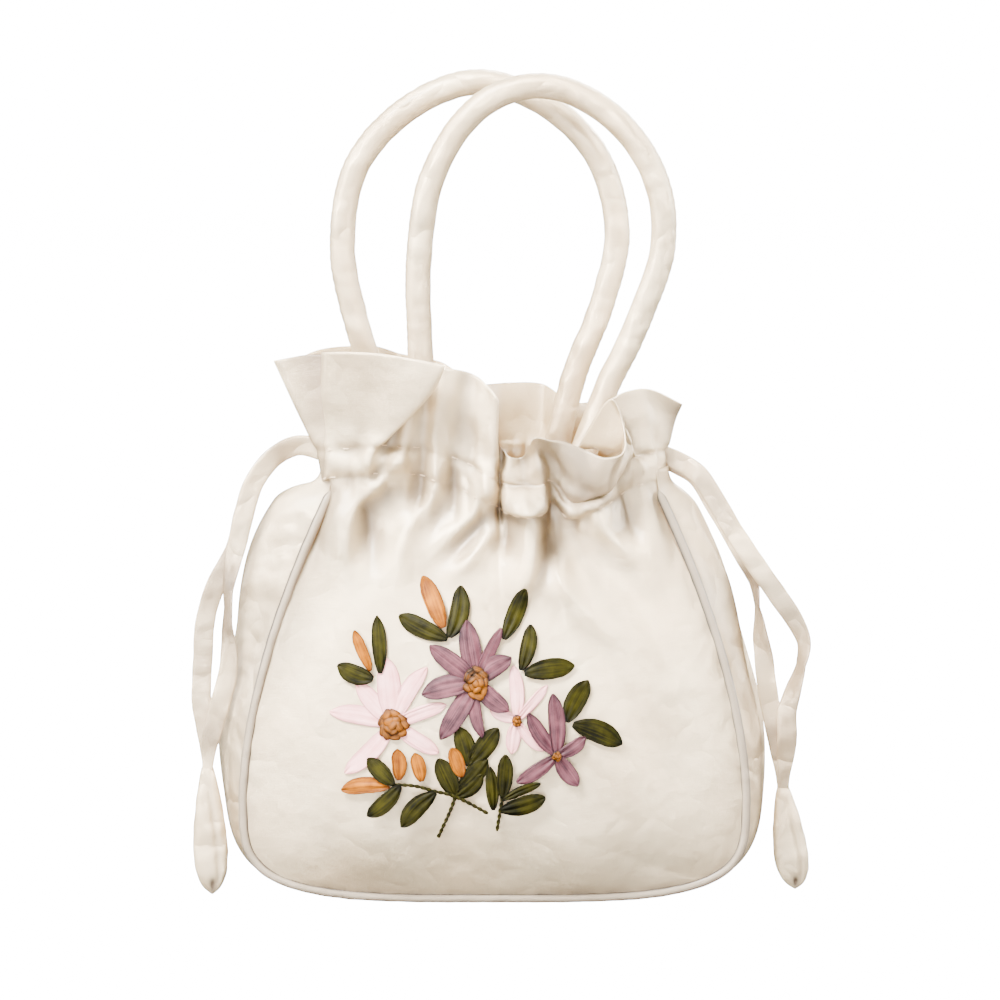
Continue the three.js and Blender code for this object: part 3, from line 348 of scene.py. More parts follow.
# Leaf sprays; leaves: base x, base z, tip x, tip z, width; stems: x, z
SPRAYS = {
    "leaf_spray_top": {
        "layer": 1, "stems": [],
        "leaves": [(-18.6, 109.2, -38, 118.7, 7.4), (-18, 110, -13.3, 130.3, 7.8)],
    },
    "leaf_spray_left": {
        "layer": 1, "stems": [],
        "leaves": [(-45.4, 93.4, -46.8, 118.6, 6), (-48.2, 91, -62.6, 96, 6.8)],
    },
    "leaf_upper_right": {
        "layer": 1, "stems": [],
        "leaves": [(3.8, 109, 12.2, 129.8, 6.2)],
    },
    "leaf_spray_right_upper": {
        "layer": 1, "stems": [],
        "leaves": [(10.6, 95.4, 14.4, 115.4, 6.4), (11.8, 94.2, 31.8, 96.8, 7.4)],
    },
    "leaf_spray_right": {
        "layer": 1, "stems": [],
        "leaves": [(28.4, 75.2, 37.2, 91, 7.2), (31, 74.2, 50.6, 66, 7.6)],
    },
    "leaf_spray_middle": {
        "layer": 1,
        "stems": [[(-8, 66), (-9.2, 59.5), (-13, 52), (-17.2, 40.4), (-22.4, 28.4)]],
        "leaves": [
            (-10, 58.2, -14.1, 73.1, 6.8), (-9.8, 58.6, 1.4, 73.1, 7), (-15.4, 45.6, -22.2, 60.7, 7),
            (-14, 48.4, -2.7, 60.7, 6.4), (-15.2, 45, -4.7, 54.5, 5.6),
        ],
    },
    "leaf_spray_low_right": {
        "layer": 3,
        "stems": [[(5.2, 58), (3.2, 46.2), (1, 31.8)]],
        "leaves": [
            (-0.4, 40.6, -1.8, 58.2, 4.4), (3.2, 45.8, 4.3, 63.1, 6.6),
            (3, 44.6, 18.2, 51.2, 3.4), (2.4, 40.4, 20.2, 45.4, 6.8),
        ],
    },
    "leaf_spray_low_left": {
        "layer": 3,
        "stems": [[(-41.2, 50.7), (-31.2, 49.9), (-24, 47.8), (-17.4, 46.2), (-10.8, 43.3), (-2.6, 38.8)]],
        "leaves": [
            (-39.8, 50.8, -50.4, 60.7, 6), (-37.2, 50.4, -50.4, 37.9, 6.8), (-23.4, 47.6, -37, 33.8, 6.8),
        ],
    },
}

# Buds: base x, base z, tip x, tip z, width
BUDS = {
    "bud_top": (-20.2, 114.4, -28.6, 133.8, 8),
    "bud_left": (-49.2, 94.6, -55.7, 112.4, 5.2),
    "bud_middle": (-12.9, 53.6, -17, 65.2, 6.4),
    "bud_low_left": (-41.6, 50, -60.8, 47.6, 7),
    "bud_low_upright": (-37.8, 52.4, -38.6, 64.5, 6.6),
    "bud_low_inner": (-28.8, 51.8, -31.6, 63.1, 6.4),
}
BUD_LAYER = 2


# Small maths

def clamp(value):
    """The value, kept between 0 and 1."""
    return np.clip(value, 0.0, 1.0)


def smooth(value):
    """An even rise from 0 to 1 that is level at both ends: three squares less two cubes."""
    share = clamp(value)
    return share * share * (3 - 2 * share)


def mix(a, b, share):
    """A share of the way from a to b."""
    return a + (b - a) * share


def bell(distance, width):
    """A bell curve of height 1: e to the power of minus the square of distance over width."""
    return np.exp(-((distance / width) ** 2))


def unit(vectors):
    """Vectors scaled to length 1."""
    return vectors / np.maximum(np.linalg.norm(vectors, axis=-1, keepdims=True), 1e-9)


def spline(points, share):
    """Centripetal Catmull-Rom curve through the points, at shares of their count."""
    rows = np.asarray(points, float)
    ends = np.vstack([2 * rows[0] - rows[1], rows, 2 * rows[-1] - rows[-2]])
    gaps = np.sqrt(np.maximum(np.linalg.norm(np.diff(ends, axis=0), axis=1), 1e-6))[:, None]
    place = clamp(np.asarray(share, float)) * (len(rows) - 1)
    low = np.minimum(place.astype(int), len(rows) - 2)
    s = (place - low)[:, None]
    p0, p1, p2, p3 = (ends[low + k] for k in range(4))
    g0, g1, g2 = (gaps[low + k] for k in range(3))
    start = g1 * ((p1 - p0) / g0 - (p2 - p0) / (g0 + g1) + (p2 - p1) / g1)
    stop = g1 * ((p2 - p1) / g1 - (p3 - p1) / (g1 + g2) + (p3 - p2) / g2)
    return (
        p1 + start * s
        + (3 * (p2 - p1) - 2 * start - stop) * s**2
        + (2 * (p1 - p2) + start + stop) * s**3
    )


def run_length(points):
    """Distance along a line of points, from its start."""
    return np.concatenate([[0.0], np.cumsum(np.linalg.norm(np.diff(points, axis=0), axis=1))])


def at_length(line, place):
    """Points of a line at distances along it."""
    length = run_length(line)
    return np.stack([np.interp(place, length, line[:, k]) for k in range(3)], axis=-1)


def eased(values, passes):
    """Values along a line, each pass evened out with their neighbours; both ends stay."""
    values = values.copy()
    for _ in range(passes):
        values[1:-1] = (values[:-2] + 2 * values[1:-1] + values[2:]) / 4
    return values


def full_turn(sides):
    """Angles of the sides of a ring."""
    return np.linspace(0, 2 * np.pi, sides, endpoint=False)


# A sum of waves seldom passes this many times its usual height
RIPPLE_CREST = 1.5


def ripples(seed, shortest, longest, count=9):
    """Smooth wrinkles: a sum of sine waves in seeded directions, of about unit height."""
    random = np.random.default_rng(seed)
    waves = 2 * np.pi / random.uniform(shortest, longest, count)
    turns = random.uniform(0, 2 * np.pi, count)
    shifts = random.uniform(0, 2 * np.pi, count)

    def height(a, b=0.0):
        parts = [
            np.sin(wave * (np.cos(turn) * a + np.sin(turn) * b) + shift)
            for wave, turn, shift in zip(waves, turns, shifts)
        ]
        return sum(parts) * np.sqrt(2 / count) / RIPPLE_CREST

    return height


def normals(grid):
    """Unit normals of a grid, to the side from which its columns run left to right and its rows up."""
    return unit(np.cross(np.gradient(grid, axis=1), np.gradient(grid, axis=0)))


def blurred(values, passes):
    """Values of a grid, each pass mixed with those of its neighbours."""
    for _ in range(passes):
        wide = np.pad(values, 1, mode="edge")
        values = (wide[:-2, 1:-1] + wide[2:, 1:-1] + wide[1:-1, :-2] + wide[1:-1, 2:] + 2 * values) / 6
    return values


def cloth_uv(grid):
    """Texture places on a grid of points, from its mean lengths across and up."""
    across = np.mean([run_length(row) for row in grid[:: max(1, len(grid) // 8)]], axis=0)
    columns = grid[:, :: max(1, grid.shape[1] // 8)]
    up = np.mean([run_length(columns[:, k]) for k in range(columns.shape[1])], axis=0)
    return np.stack(np.meshgrid(across, up), axis=-1) / UV_UNIT


# Camera and light

CAMERA_AZIMUTH = np.radians(0.0)
CAMERA_ELEVATION = np.radians(9.0)
CAMERA_DISTANCE = 1.3
CAMERA_TARGET = Vector((0.0022, -0.038, 0.1655))
FRAME_WIDTH = 0.395
SENSOR = 36.0

camera_data = bpy.data.cameras.new("camera")
camera_data.sensor_width = SENSOR
camera_data.lens = SENSOR * CAMERA_DISTANCE / FRAME_WIDTH
camera = bpy.data.objects.new("camera", camera_data)
backward = Vector((
    np.sin(CAMERA_AZIMUTH) * np.cos(CAMERA_ELEVATION),
    -np.cos(CAMERA_AZIMUTH) * np.cos(CAMERA_ELEVATION),
    np.sin(CAMERA_ELEVATION),
))
camera.location = CAMERA_TARGET + CAMERA_DISTANCE * backward
camera.rotation_euler = backward.to_track_quat("Z", "Y").to_euler()
bpy.context.scene.collection.objects.link(camera)
bpy.context.scene.camera = camera


def area_light(name, place, target, size, power):
    """A square lamp that faces its target."""
    light = bpy.data.lights.new(name, "AREA")
    light.size = size
    light.energy = power
    lamp = bpy.data.objects.new(name, light)
    lamp.location = place
    lamp.rotation_euler = (Vector(place) - Vector(target)).to_track_quat("Z", "Y").to_euler()
    bpy.context.scene.collection.objects.link(lamp)


# Lights: name, place, what it faces, width, power
LIGHTS = [
    ("key_light", (-0.6, -0.65, 1.25), (0, 0, 0.14), 0.55, 175),
    ("front_light", (-0.35, -1.25, 0.3), (0, 0, 0.14), 0.6, 12),
    ("right_light", (1.1, 0.1, 0.45), (0.05, 0, 0.1), 0.6, 50),
    ("left_light", (-1.1, 0.2, 0.4), (-0.05, 0, 0.1), 0.6, 18),
    ("inside_glow", (0, 0, 0.03), (0, 0, 0.2), 0.04, 0.3),
    ("back_light", (0.35, 1.2, 0.75), (0, 0.03, 0.12), 0.7, 40),
    ("top_light", (0.1, 0.25, 1.1), (0, 0, 0.14), 0.5, 12),
    ("table_bounce", (-0.1, -0.5, 0.02), (0, -0.05, 0.06), 0.6, 8),
]
for light_row in LIGHTS:
    area_light(*light_row)

# White seen by the camera, and a dimmer white that lights the bag
AMBIENT = 0.15
BACKGROUND = 18.0
WARM_WHITE = (1, 0.97, 0.93, 1)
world = bpy.data.worlds.new("studio")
world.use_nodes = True
background = world.node_tree.nodes["Background"]
ray = world.node_tree.nodes.new("ShaderNodeLightPath")
strength = world.node_tree.nodes.new("ShaderNodeMix")
strength.inputs[2].default_value = AMBIENT
strength.inputs[3].default_value = BACKGROUND
world.node_tree.links.new(ray.outputs["Is Camera Ray"], strength.inputs[0])
world.node_tree.links.new(strength.outputs[0], background.inputs["Strength"])
background.inputs["Color"].default_value = WARM_WHITE
bpy.context.scene.world = world


# Materials

class Shade:
    """A shader socket that adds and multiplies like a number."""

    def __init__(self, tree, socket):
        self.tree = tree
        self.socket = socket

    def node(self, kind, inputs, output=0, **settings):
        """Any shader node, with its settings, its inputs by name or place, and one of its outputs."""
        made = self.tree.nodes.new(kind)
        for name, value in settings.items():
            setattr(made, name, value)
        for name, value in inputs.items():
            if isinstance(value, Shade):
                self.tree.links.new(value.socket, made.inputs[name])
            else:
                made.inputs[name].default_value = value
        return Shade(self.tree, made.outputs[output])

    def math(self, operation, first, second=0.0):
        return self.node("ShaderNodeMath", {0: first, 1: second}, operation=operation)

    def __add__(self, other):
        return self.math("ADD", self, other)

    def __radd__(self, other):
        return self.math("ADD", other, self)

    def __sub__(self, other):
        return self.math("SUBTRACT", self, other)

    def __rsub__(self, other):
        return self.math("SUBTRACT", other, self)

    def __mul__(self, other):
        return self.math("MULTIPLY", self, other)

    def __rmul__(self, other):
        return self.math("MULTIPLY", other, self)

    def __pow__(self, other):
        return self.math("POWER", self, other)

    def size(self):
        return self.math("ABSOLUTE", self)

    def clamped(self):
        return self.node("ShaderNodeClamp", {"Value": self})

    def blend(self, first, second):
        """The first colour where this is 0, the second where it is 1."""
        return self.node("ShaderNodeMix", {0: self, 6: first, 7: second}, output=2, data_type="RGBA")

    def stretched(self, x, y, z=1.0):
        """This vector, scaled along each axis."""
        return self.node("ShaderNodeVectorMath", {0: self, 1: (x, y, z)}, operation="MULTIPLY")

    def noise(self, scale, detail=2.0, roughness=0.5):
        return self.node(
            "ShaderNodeTexNoise",
            {"Vector": self, "Scale": scale, "Detail": detail, "Roughness": roughness},
        )


class Cloth:
    """A new fabric material: its coordinates and its Principled shader."""

    def __init__(self, name):
        self.material = bpy.data.materials.new(name)
        self.material.use_nodes = True
        self.tree = self.material.node_tree
        self.shader = self.tree.nodes["Principled BSDF"]
        places = self.tree.nodes.new("ShaderNodeTexCoord")
        self.object = Shade(self.tree, places.outputs["Object"])
        self.uv = Shade(self.tree, places.outputs["UV"])
        split = self.tree.nodes.new("ShaderNodeSeparateXYZ")
        self.tree.links.new(places.outputs["UV"], split.inputs[0])
        self.across = Shade(self.tree, split.outputs[0])
        self.along = Shade(self.tree, split.outputs[1])

    def feed(self, name, value):
        if isinstance(value, Shade):
            self.tree.links.new(value.socket, self.shader.inputs[name])
        else:
            self.shader.inputs[name].default_value = value

    def bump(self, height, strength, distance):
        inputs = {"Height": height, "Strength": strength, "Distance": distance}
        self.feed("Normal", height.node("ShaderNodeBump", inputs))


def rgb(red, green, blue):
    """A colour given in display values from 0 to 255."""
    shares = np.array([red, green, blue]) / 255
    return (*np.where(shares < 0.04045, shares / 12.92, ((shares + 0.055) / 1.055) ** 2.4), 1.0)


# Gloss of the satin, and how far the bump of each cloth stands out in metres
COAT_WEIGHT = 0.35
COAT_ROUGHNESS = 0.28
SATIN_BUMP = 0.0012
RIBBON_BUMP = 0.0004
RIBBON_BUMP_STRENGTH = 0.35


def satin(name, light, deep, painted_shade, roughness=0.36, metallic=0.5, specular=1.0, creases=2.4):
    """Pearly satin with fine threads, faint slubs, soft creases and painted shade in the hollows.

    Tone and gloss add a soft cloudy noise, whose light and deep patches are painted sheen, and a slub
    noise that is drawn out along the cloth. The bump adds threads, slubs, a crumple noise and creases,
    which run where another noise is at its mean."""
    cloth = Cloth(name)
    sheen_cloud = cloth.object.noise(22, 3)
    slub = cloth.uv.stretched(0.6, 14).noise(3, 2)
    threads = cloth.uv.stretched(3, 42).noise(6, 1)
    crumple = cloth.object.noise(75, 4)
    creased = (cloth.object.noise(42, 2) - 0.5).size()
    # Light and deep patches of the soft cloudy noise are painted sheen; the slubs are the cloth's own tone
    tone = (sheen_cloud * 1.6 + slub * 0.4 - 0.7).clamped()
    # The painted shade attribute blends the colour towards the tone of the painted shade
    depth = sheen_cloud.node("ShaderNodeAttribute", {}, output="Fac", attribute_name="painted_shade")
    cloth.feed("Base Color", depth.clamped().blend(tone.blend(deep, light), painted_shade))
    cloth.feed("Roughness", roughness - 0.06 + 0.08 * sheen_cloud + 0.06 * slub)
    cloth.feed("Metallic", metallic)
    cloth.feed("Specular IOR Level", specular)
    cloth.feed("Coat Weight", COAT_WEIGHT)
    cloth.feed("Coat Roughness", COAT_ROUGHNESS)
    cloth.bump(threads * 0.1 + slub * 0.08 + crumple * 0.9 + creased * creases, 1.0, SATIN_BUMP)
    return cloth.material


def ribbon(name, light, deep, edge, specular, edge_falloff):
    """Silk ribbon: lengthwise streaks, fine weave, painted shade at the gathered base, and darker edges.

    Across, whole numbers are the edges of a ribbon; along, 0 is the base of a stitch and 1 its tip. The
    tone adds streaks, clouds and weave, whose light cloudy patches are painted sheen, and a painted
    highlight makes it brightest near the middle of the stitch."""
    cloth = Cloth(name)
    place = cloth.across.math("FRACT", cloth.across)
    from_middle = (place - 0.5).size() * 2
    streaks = cloth.uv.stretched(13, 1.1).noise(1, 3)
    sheen_cloud = cloth.object.noise(170, 2)
    weave = cloth.uv.stretched(40, 70).noise(1, 1)
    darker_edges = from_middle**edge_falloff
    # Painted shade in the gathers at the base of each stitch
    gathers = (1 - cloth.along * 7).clamped()
    # Painted highlight: the tone is lightest near the middle of the stitch
    middle = (cloth.along - 0.55).size()
    tone = (streaks * 1.7 + sheen_cloud * 1.7 + weave * 0.6 - 1.4 - middle * 0.7).clamped()
    body = tone.blend(deep, light)
    shaded = (darker_edges * 0.8 + gathers * 0.7).clamped()
    cloth.feed("Base Color", shaded.blend(body, edge))
    cloth.feed("Roughness", 0.38 + 0.2 * streaks)
    cloth.feed("Specular IOR Level", specular)
    cloth.bump(streaks * 0.5 + weave * 0.5, RIBBON_BUMP_STRENGTH, RIBBON_BUMP)
    return cloth.material


# Satins: light and deep tone, the ends of the painted sheen patches, tone of the painted shade, and what
# differs from plain satin
CREAM = rgb(242, 222, 183)
CREAM_PAINTED_SHADE = rgb(116, 96, 75)
SATINS = {
    "satin": (CREAM, rgb(216, 190, 149), CREAM_PAINTED_SHADE, {}),
    "creased": (CREAM, rgb(210, 183, 142), CREAM_PAINTED_SHADE, {"creases": 6.0}),
    # The inside face: a darker, warmer copy of the satin, painted shade inside the bag
    "inside": (rgb(206, 182, 142), rgb(190, 164, 122), rgb(190, 164, 122), {}),
    # The piping's shade tone is the near-black of its painted shade lines in the seam grooves
    "piping": (
        rgb(160, 144, 122), rgb(144, 128, 107), rgb(24, 22, 20),
        {"roughness": 0.5, "metallic": 0.1, "specular": 0.4},
    ),
    "thread": (rgb(238, 216, 182), rgb(216, 190, 154), rgb(140, 116, 92), {"roughness": 0.5}),
}
# Ribbons: light and deep tone, between which the painted sheen and highlight move, edge tone, specular
# level, and how narrow the dark edge is
RIBBONS = {
    "mauve_ribbon": (rgb(104, 60, 67), rgb(42, 20, 26), rgb(22, 8, 14), 0.15, 6.0),
    "pink_ribbon": (rgb(238, 180, 177), rgb(218, 146, 143), rgb(150, 80, 84), 0.25, 6.0),
    # The gold's wide dark edge is painted shade in the crevices of the knots
    "gold_ribbon": (rgb(134, 76, 4), rgb(24, 10, 0), rgb(5, 2, 0), 0.15, 2.0),
    "green_ribbon": (rgb(44, 41, 5), rgb(8, 8, 1), rgb(3, 3, 1), 0.05, 6.0),
    "orange_ribbon": (rgb(158, 90, 0), rgb(78, 36, 0), rgb(56, 22, 0), 0.08, 6.0),
}
MATERIALS = {name: satin(name, *tones, **finish) for name, (*tones, finish) in SATINS.items()}
MATERIALS |= {name: ribbon(name, *row) for name, row in RIBBONS.items()}


# Meshes

def mesh_object(name, grids, closed=False):
    """One mesh over several grids of points; a closed grid joins its last column to its first."""
    points, faces, places = [], [], []
    count = 0
    for grid, uv in grids:
        rows, columns = grid.shape[:2]
        index = np.arange(rows * columns).reshape(rows, columns) + count
        uv_index = np.arange(rows * uv.shape[1]).reshape(rows, uv.shape[1])
        if closed:
            index = np.hstack([index, index[:, :1]])
        corners = [np.s_[:-1, :-1], np.s_[:-1, 1:], np.s_[1:, 1:], np.s_[1:, :-1]]
        faces.append(np.stack([index[c] for c in corners], axis=-1).reshape(-1, 4))
        loops = np.stack([uv_index[c] for c in corners], axis=-1).reshape(-1)
        places.append(uv.reshape(-1, 2)[loops])
        points.append(grid.reshape(-1, 3) * MM)
        count += rows * columns
    mesh = bpy.data.meshes.new(name)
    mesh.from_pydata(np.vstack(points), [], np.vstack(faces))
    mesh.polygons.foreach_set("use_smooth", np.ones(len(mesh.polygons), bool))
    mesh.uv_layers.new(name="places").data.foreach_set("uv", np.vstack(places).ravel())
    made = bpy.data.objects.new(name, mesh)
    bpy.context.scene.collection.objects.link(made)
    return made


def piece(name, grids, slot, nodes=(), closed=False, thickness=0.0, material=None, lining=None):
    """A finished piece: its mesh, cloth thickness behind the face, material, and the nodes that it shows."""
    made = mesh_object(name, grids, closed)
    made.data.materials.append(MATERIALS[material or slot])
    if thickness:
        wall = made.modifiers.new("thickness", "SOLIDIFY")
        if lining:
            made.data.materials.append(MATERIALS[lining])
            wall.material_offset = 1
        wall.thickness = thickness * MM
        wall.offset = -1
        wall.use_even_offset = False
    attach(made, "root")
    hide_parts(*nodes)
    return made


def store(made, values):
    """Keep the painted shade with the points and join grids that meet."""
    layer = made.data.attributes.new("painted_shade", "FLOAT", "POINT")
    layer.data.foreach_set("value", np.concatenate([v.ravel() for v in values]))
    joined = bmesh.new()
    joined.from_mesh(made.data)
    bmesh.ops.remove_doubles(joined, verts=joined.verts, dist=0.01 * MM)
    joined.to_mesh(made.data)
    joined.free()


def sweep(centres, sideways, outline_wide, outline_thick):
    """Rings round a line: outlines (rows, sides) along sideways and along the third direction."""
    along = unit(np.gradient(centres, axis=0))
    wide = unit(sideways - np.sum(sideways * along, axis=1, keepdims=True) * along)
    thick = np.cross(along, wide)
    aside = wide[:, None] * outline_wide[..., None]
    return centres[:, None] + aside + thick[:, None] * outline_thick[..., None]


DEPTH_AXIS = (0.0, 1.0, 0.0)


def tube(centres, radius, turn):
    """Round rings about a line; the radius is one number or one for each row and side."""
    sideways = np.tile(DEPTH_AXIS, (len(centres), 1))
    radius = np.broadcast_to(radius, (len(centres), len(turn)))
    return sweep(centres, sideways, radius * np.cos(turn), radius * np.sin(turn))


def ring_uv(centres, sides, girth):
    """Texture places round a tube, with the first side repeated at the end."""
    around = np.linspace(0, girth, sides + 1)
    return np.stack(np.meshgrid(around, run_length(centres)), axis=-1) / UV_UNIT


# Drawstrings

STRAND_ROWS = 150
STRAND_SIDES = 20
STRAND_GIRTH = 18.0
STRAND_SQUARENESS = 0.75
STRAND_CREASE = 0.35
STRAND_CREASE_WIDTH = 0.18
STRAND_WRINKLE = 0.16
STRAND_NARROWS_FROM = 0.88
STRAND_NARROWS_BY = 0.45

# Shade of a strand: its gain, an even share, slow patches, and where its face is turned aside
STRAND_SHADE = 0.55
STRAND_EVEN = 0.7
STRAND_PATCHES = 0.5
STRAND_TURNED = 1.2

# The fold and the slit of a tab are placed in shares of its half width and of its length
TAB_ROWS = 60
TAB_SIDES = 48
TAB_GIRTH = 40.0
TAB_EASING = 3
TAB_FOLD_ACROSS = 0.15
TAB_FOLD_SWAY = 0.35
TAB_FOLD_WIDTH = 0.16
TAB_FOLD_DEPTH = 0.28
TAB_FOLD_SHADE = 0.35
SLIT_SHADE = 1.4
SLIT_ACROSS = 0.1
SLIT_ALONG = 0.92
SLIT_WIDTH = 0.22
SLIT_LENGTH = 0.055
SLIT_DEPTH = 0.5


def strand(name, rows, seed):
    """A flattened satin tube along its route, turned by its roll, with a soft crease along the middle.

    Its outline is a rounded oblong, a little wrinkled, and narrows towards the tab. It is shaded in slow
    patches, and most where its face is turned aside."""
    share = np.linspace(0, 1, STRAND_ROWS)
    centres = spline(rows[:, :3], share)
    place = run_length(centres)[:, None]
    roll = np.radians(np.interp(share * (len(rows) - 1), np.arange(len(rows)), rows[:, 3]))[:, None]
    along = unit(np.gradient(centres, axis=0))
    flat = unit(np.cross(along, DEPTH_AXIS))
    sideways = flat * np.cos(roll) + np.cross(along, flat) * np.sin(roll)
    turn = full_turn(STRAND_SIDES)
    wide = np.sign(np.cos(turn)) * np.abs(np.cos(turn)) ** STRAND_SQUARENESS
    thick = np.sign(np.sin(turn)) * np.abs(np.sin(turn)) ** STRAND_SQUARENESS
    crease = 1 - STRAND_CREASE * bell(wide, STRAND_CREASE_WIDTH)
    wrinkle = ripples(seed, 9, 26)(place, wide[None] * 4)
    near_tab = (place / place[-1] - STRAND_NARROWS_FROM) / (1 - STRAND_NARROWS_FROM)
    narrowed = 1 - STRAND_NARROWS_BY * smooth(near_tab)
    outline_wide = RIBBON_WIDTH / 2 * wide[None] * (1 + 0.02 * wrinkle) * narrowed
    outline_thick = RIBBON_THICK / 2 * (thick * crease)[None] + STRAND_WRINKLE * wrinkle
    grid = sweep(centres, sideways, outline_wide, outline_thick)
    uv = ring_uv(centres, STRAND_SIDES, STRAND_GIRTH)
    made = piece(f"{name}_ribbon", [(grid, uv)], "satin", [name], closed=True, material="creased")
    patches = STRAND_PATCHES * ripples(seed + 40, 24, 60)(place)
    shade = STRAND_SHADE * (STRAND_EVEN + patches + STRAND_TURNED * np.sin(roll) ** 2)
    store(made, [np.broadcast_to(np.maximum(shade, 0), grid.shape[:2])])
    return made, centres


def tab(name, ends, seed):
    """A stuffed drop of satin, oval across, with a winding fold down its face and a slit near the tip.

    The fold and the slit are bells across the front half that take away from its thickness."""
    share = np.linspace(0, 1, TAB_ROWS)
    top, tip = np.array(ends, float)
    centres = mix(top, tip, share[:, None])
    wide = eased(np.interp(share, TAB_SHAPE[:, 0], TAB_SHAPE[:, 1]), TAB_EASING)
    thick = eased(np.interp(share, TAB_SHAPE[:, 0], TAB_SHAPE[:, 2]), TAB_EASING)
    turn = full_turn(TAB_SIDES)
    across = np.cos(turn)[None]
    front = (np.sin(turn) < 0).astype(float)
    fold_at = TAB_FOLD_ACROSS + TAB_FOLD_SWAY * np.sin(2.4 * share - 0.5)[:, None]
    groove = front * bell(across - fold_at, TAB_FOLD_WIDTH) * smooth((share - 0.1) / 0.3)[:, None]
    crumple = ripples(seed, 7, 18)(turn[None] * 6, share[:, None] * 50)
    slit = front * bell(across - SLIT_ACROSS, SLIT_WIDTH) * bell(share[:, None] - SLIT_ALONG, SLIT_LENGTH)
    bulk = 1 - TAB_FOLD_DEPTH * groove - SLIT_DEPTH * slit + 0.03 * crumple
    x = TAB_WIDTH / 2 * wide[:, None] * across * (1 + 0.015 * crumple)
    y = TAB_THICK / 2 * thick[:, None] * np.sin(turn)[None] * bulk
    grid = centres[:, None] + np.stack([x, y, np.zeros_like(x)], axis=-1)
    uv = ring_uv(centres, TAB_SIDES, TAB_GIRTH)
    made = piece(f"{name}_cloth", [(grid[::-1], uv)], "satin", [name], closed=True, material="creased")
    # Painted shade in the fold and in the slit
    store(made, [(TAB_FOLD_SHADE * groove + SLIT_SHADE * slit)[::-1]])
    return made


def drawstring(side, front_rows, back_rows, tab_ends, seed):
    """The two strands of one side and the tab that joins them."""
    drop = tab(f"{side}_tab", tab_ends, seed)
    for k, (name, rows) in enumerate([("front", front_rows), ("back", back_rows)]):
        made, centres = strand(f"{side}_strand_{name}", rows, seed + k + 1)
        centres[0] * MM
        centres * MM


drawstring("left", LEFT_STRAND_FRONT, LEFT_STRAND_BACK, LEFT_TAB, 11)
drawstring("right", RIGHT_STRAND_FRONT, RIGHT_STRAND_BACK, RIGHT_TAB, 21)


# Shape of the body

def half_width(z):
    """Half the width of a panel: full up to its widest line, then less by a power of the height above it."""
    rise = clamp((z - PANEL_WIDEST_AT) / (PANEL_TOP - PANEL_WIDEST_AT))
    return PANEL_HALF_WIDTH - (PANEL_HALF_WIDTH - PANEL_TOP_HALF_WIDTH) * rise**SIDE_TAPER


def edge_share(x, z):
    """0 in the middle of a panel, 1 on its piping: a squared-off oval below the widest line."""
    out = np.abs(x) / half_width(z)
    down = np.maximum(0, (PANEL_WIDEST_AT - z) / (PANEL_WIDEST_AT - PANEL_BOTTOM))
    return np.minimum(1, (out**BOTTOM_ROUNDNESS + down**BOTTOM_ROUNDNESS) ** (1 / BOTTOM_ROUNDNESS))


def seam_inset(x, z):
    """About how far inside its piping a place of a panel is."""
    return (1 - edge_share(x, z)) * PANEL_HALF_WIDTH


def piping_depth(z):
    """Depth of a seam, which goes from the base to the neck by a power of the height."""
    return mix(BASE_HALF_DEPTH, NECK_HALF_DEPTH, clamp(z / PANEL_TOP) ** DEPTH_TAPER)


def plain_depth(x, z):
    """A belly that swells between the seams and flattens towards the neck."""
    height = clamp(z / PANEL_TOP) ** BELLY_RISE
    belly = NECK_BELLY + (BELLY - NECK_BELLY) * np.sin(np.pi * height)
    return piping_depth(z) + belly * (1 - edge_share(x, z) ** BELLY_EDGE)


# A fold fades over a share of its height at its foot and over a length at its top
FOLD_FOOT_FADE = 0.45
FOLD_TOP_FADE = 12.0
FOLD_SHARPNESS = 1.6


def fold_relief(folds, x, z):
    """Each fold is a ridge or valley along its line, of its own width on either side, fading at both ends."""
    relief = np.zeros_like(x)
    for rise, left, right, points in folds:
        line = spline([(px, 0, pz) for px, pz in points], np.linspace(0, 1, 40))
        order = np.argsort(line[:, 2])
        middle = np.interp(z, line[order, 2], line[order, 0])
        low, high = line[order[0], 2], line[order[-1], 2]
        foot = smooth((z - low) / (FOLD_FOOT_FADE * (high - low)))
        top = smooth((high + FOLD_TOP_FADE / 2 - z) / FOLD_TOP_FADE)
        aside = x - middle
        width = np.where(aside < 0, left, right)
        relief += rise * foot * top * np.exp(-np.abs(aside / width) ** FOLD_SHARPNESS)
    return relief


# Small wrinkles of the cloth: their height, and their reach from the neck or from the seam
NECK_GATHER = 0.5
NECK_REACH = 9.0
STITCH_DENT = 0.7
STITCH_DENT_REACH = 1.8
NECK_CREASE = 0.55
NECK_CREASE_REACH = 42.0
NECK_CREASE_FADE = 30.0
SLACK = 1.1
SEAM_PUCKER = 0.3
SEAM_PUCKER_REACH = 5.0
CALM_PASSES = 160


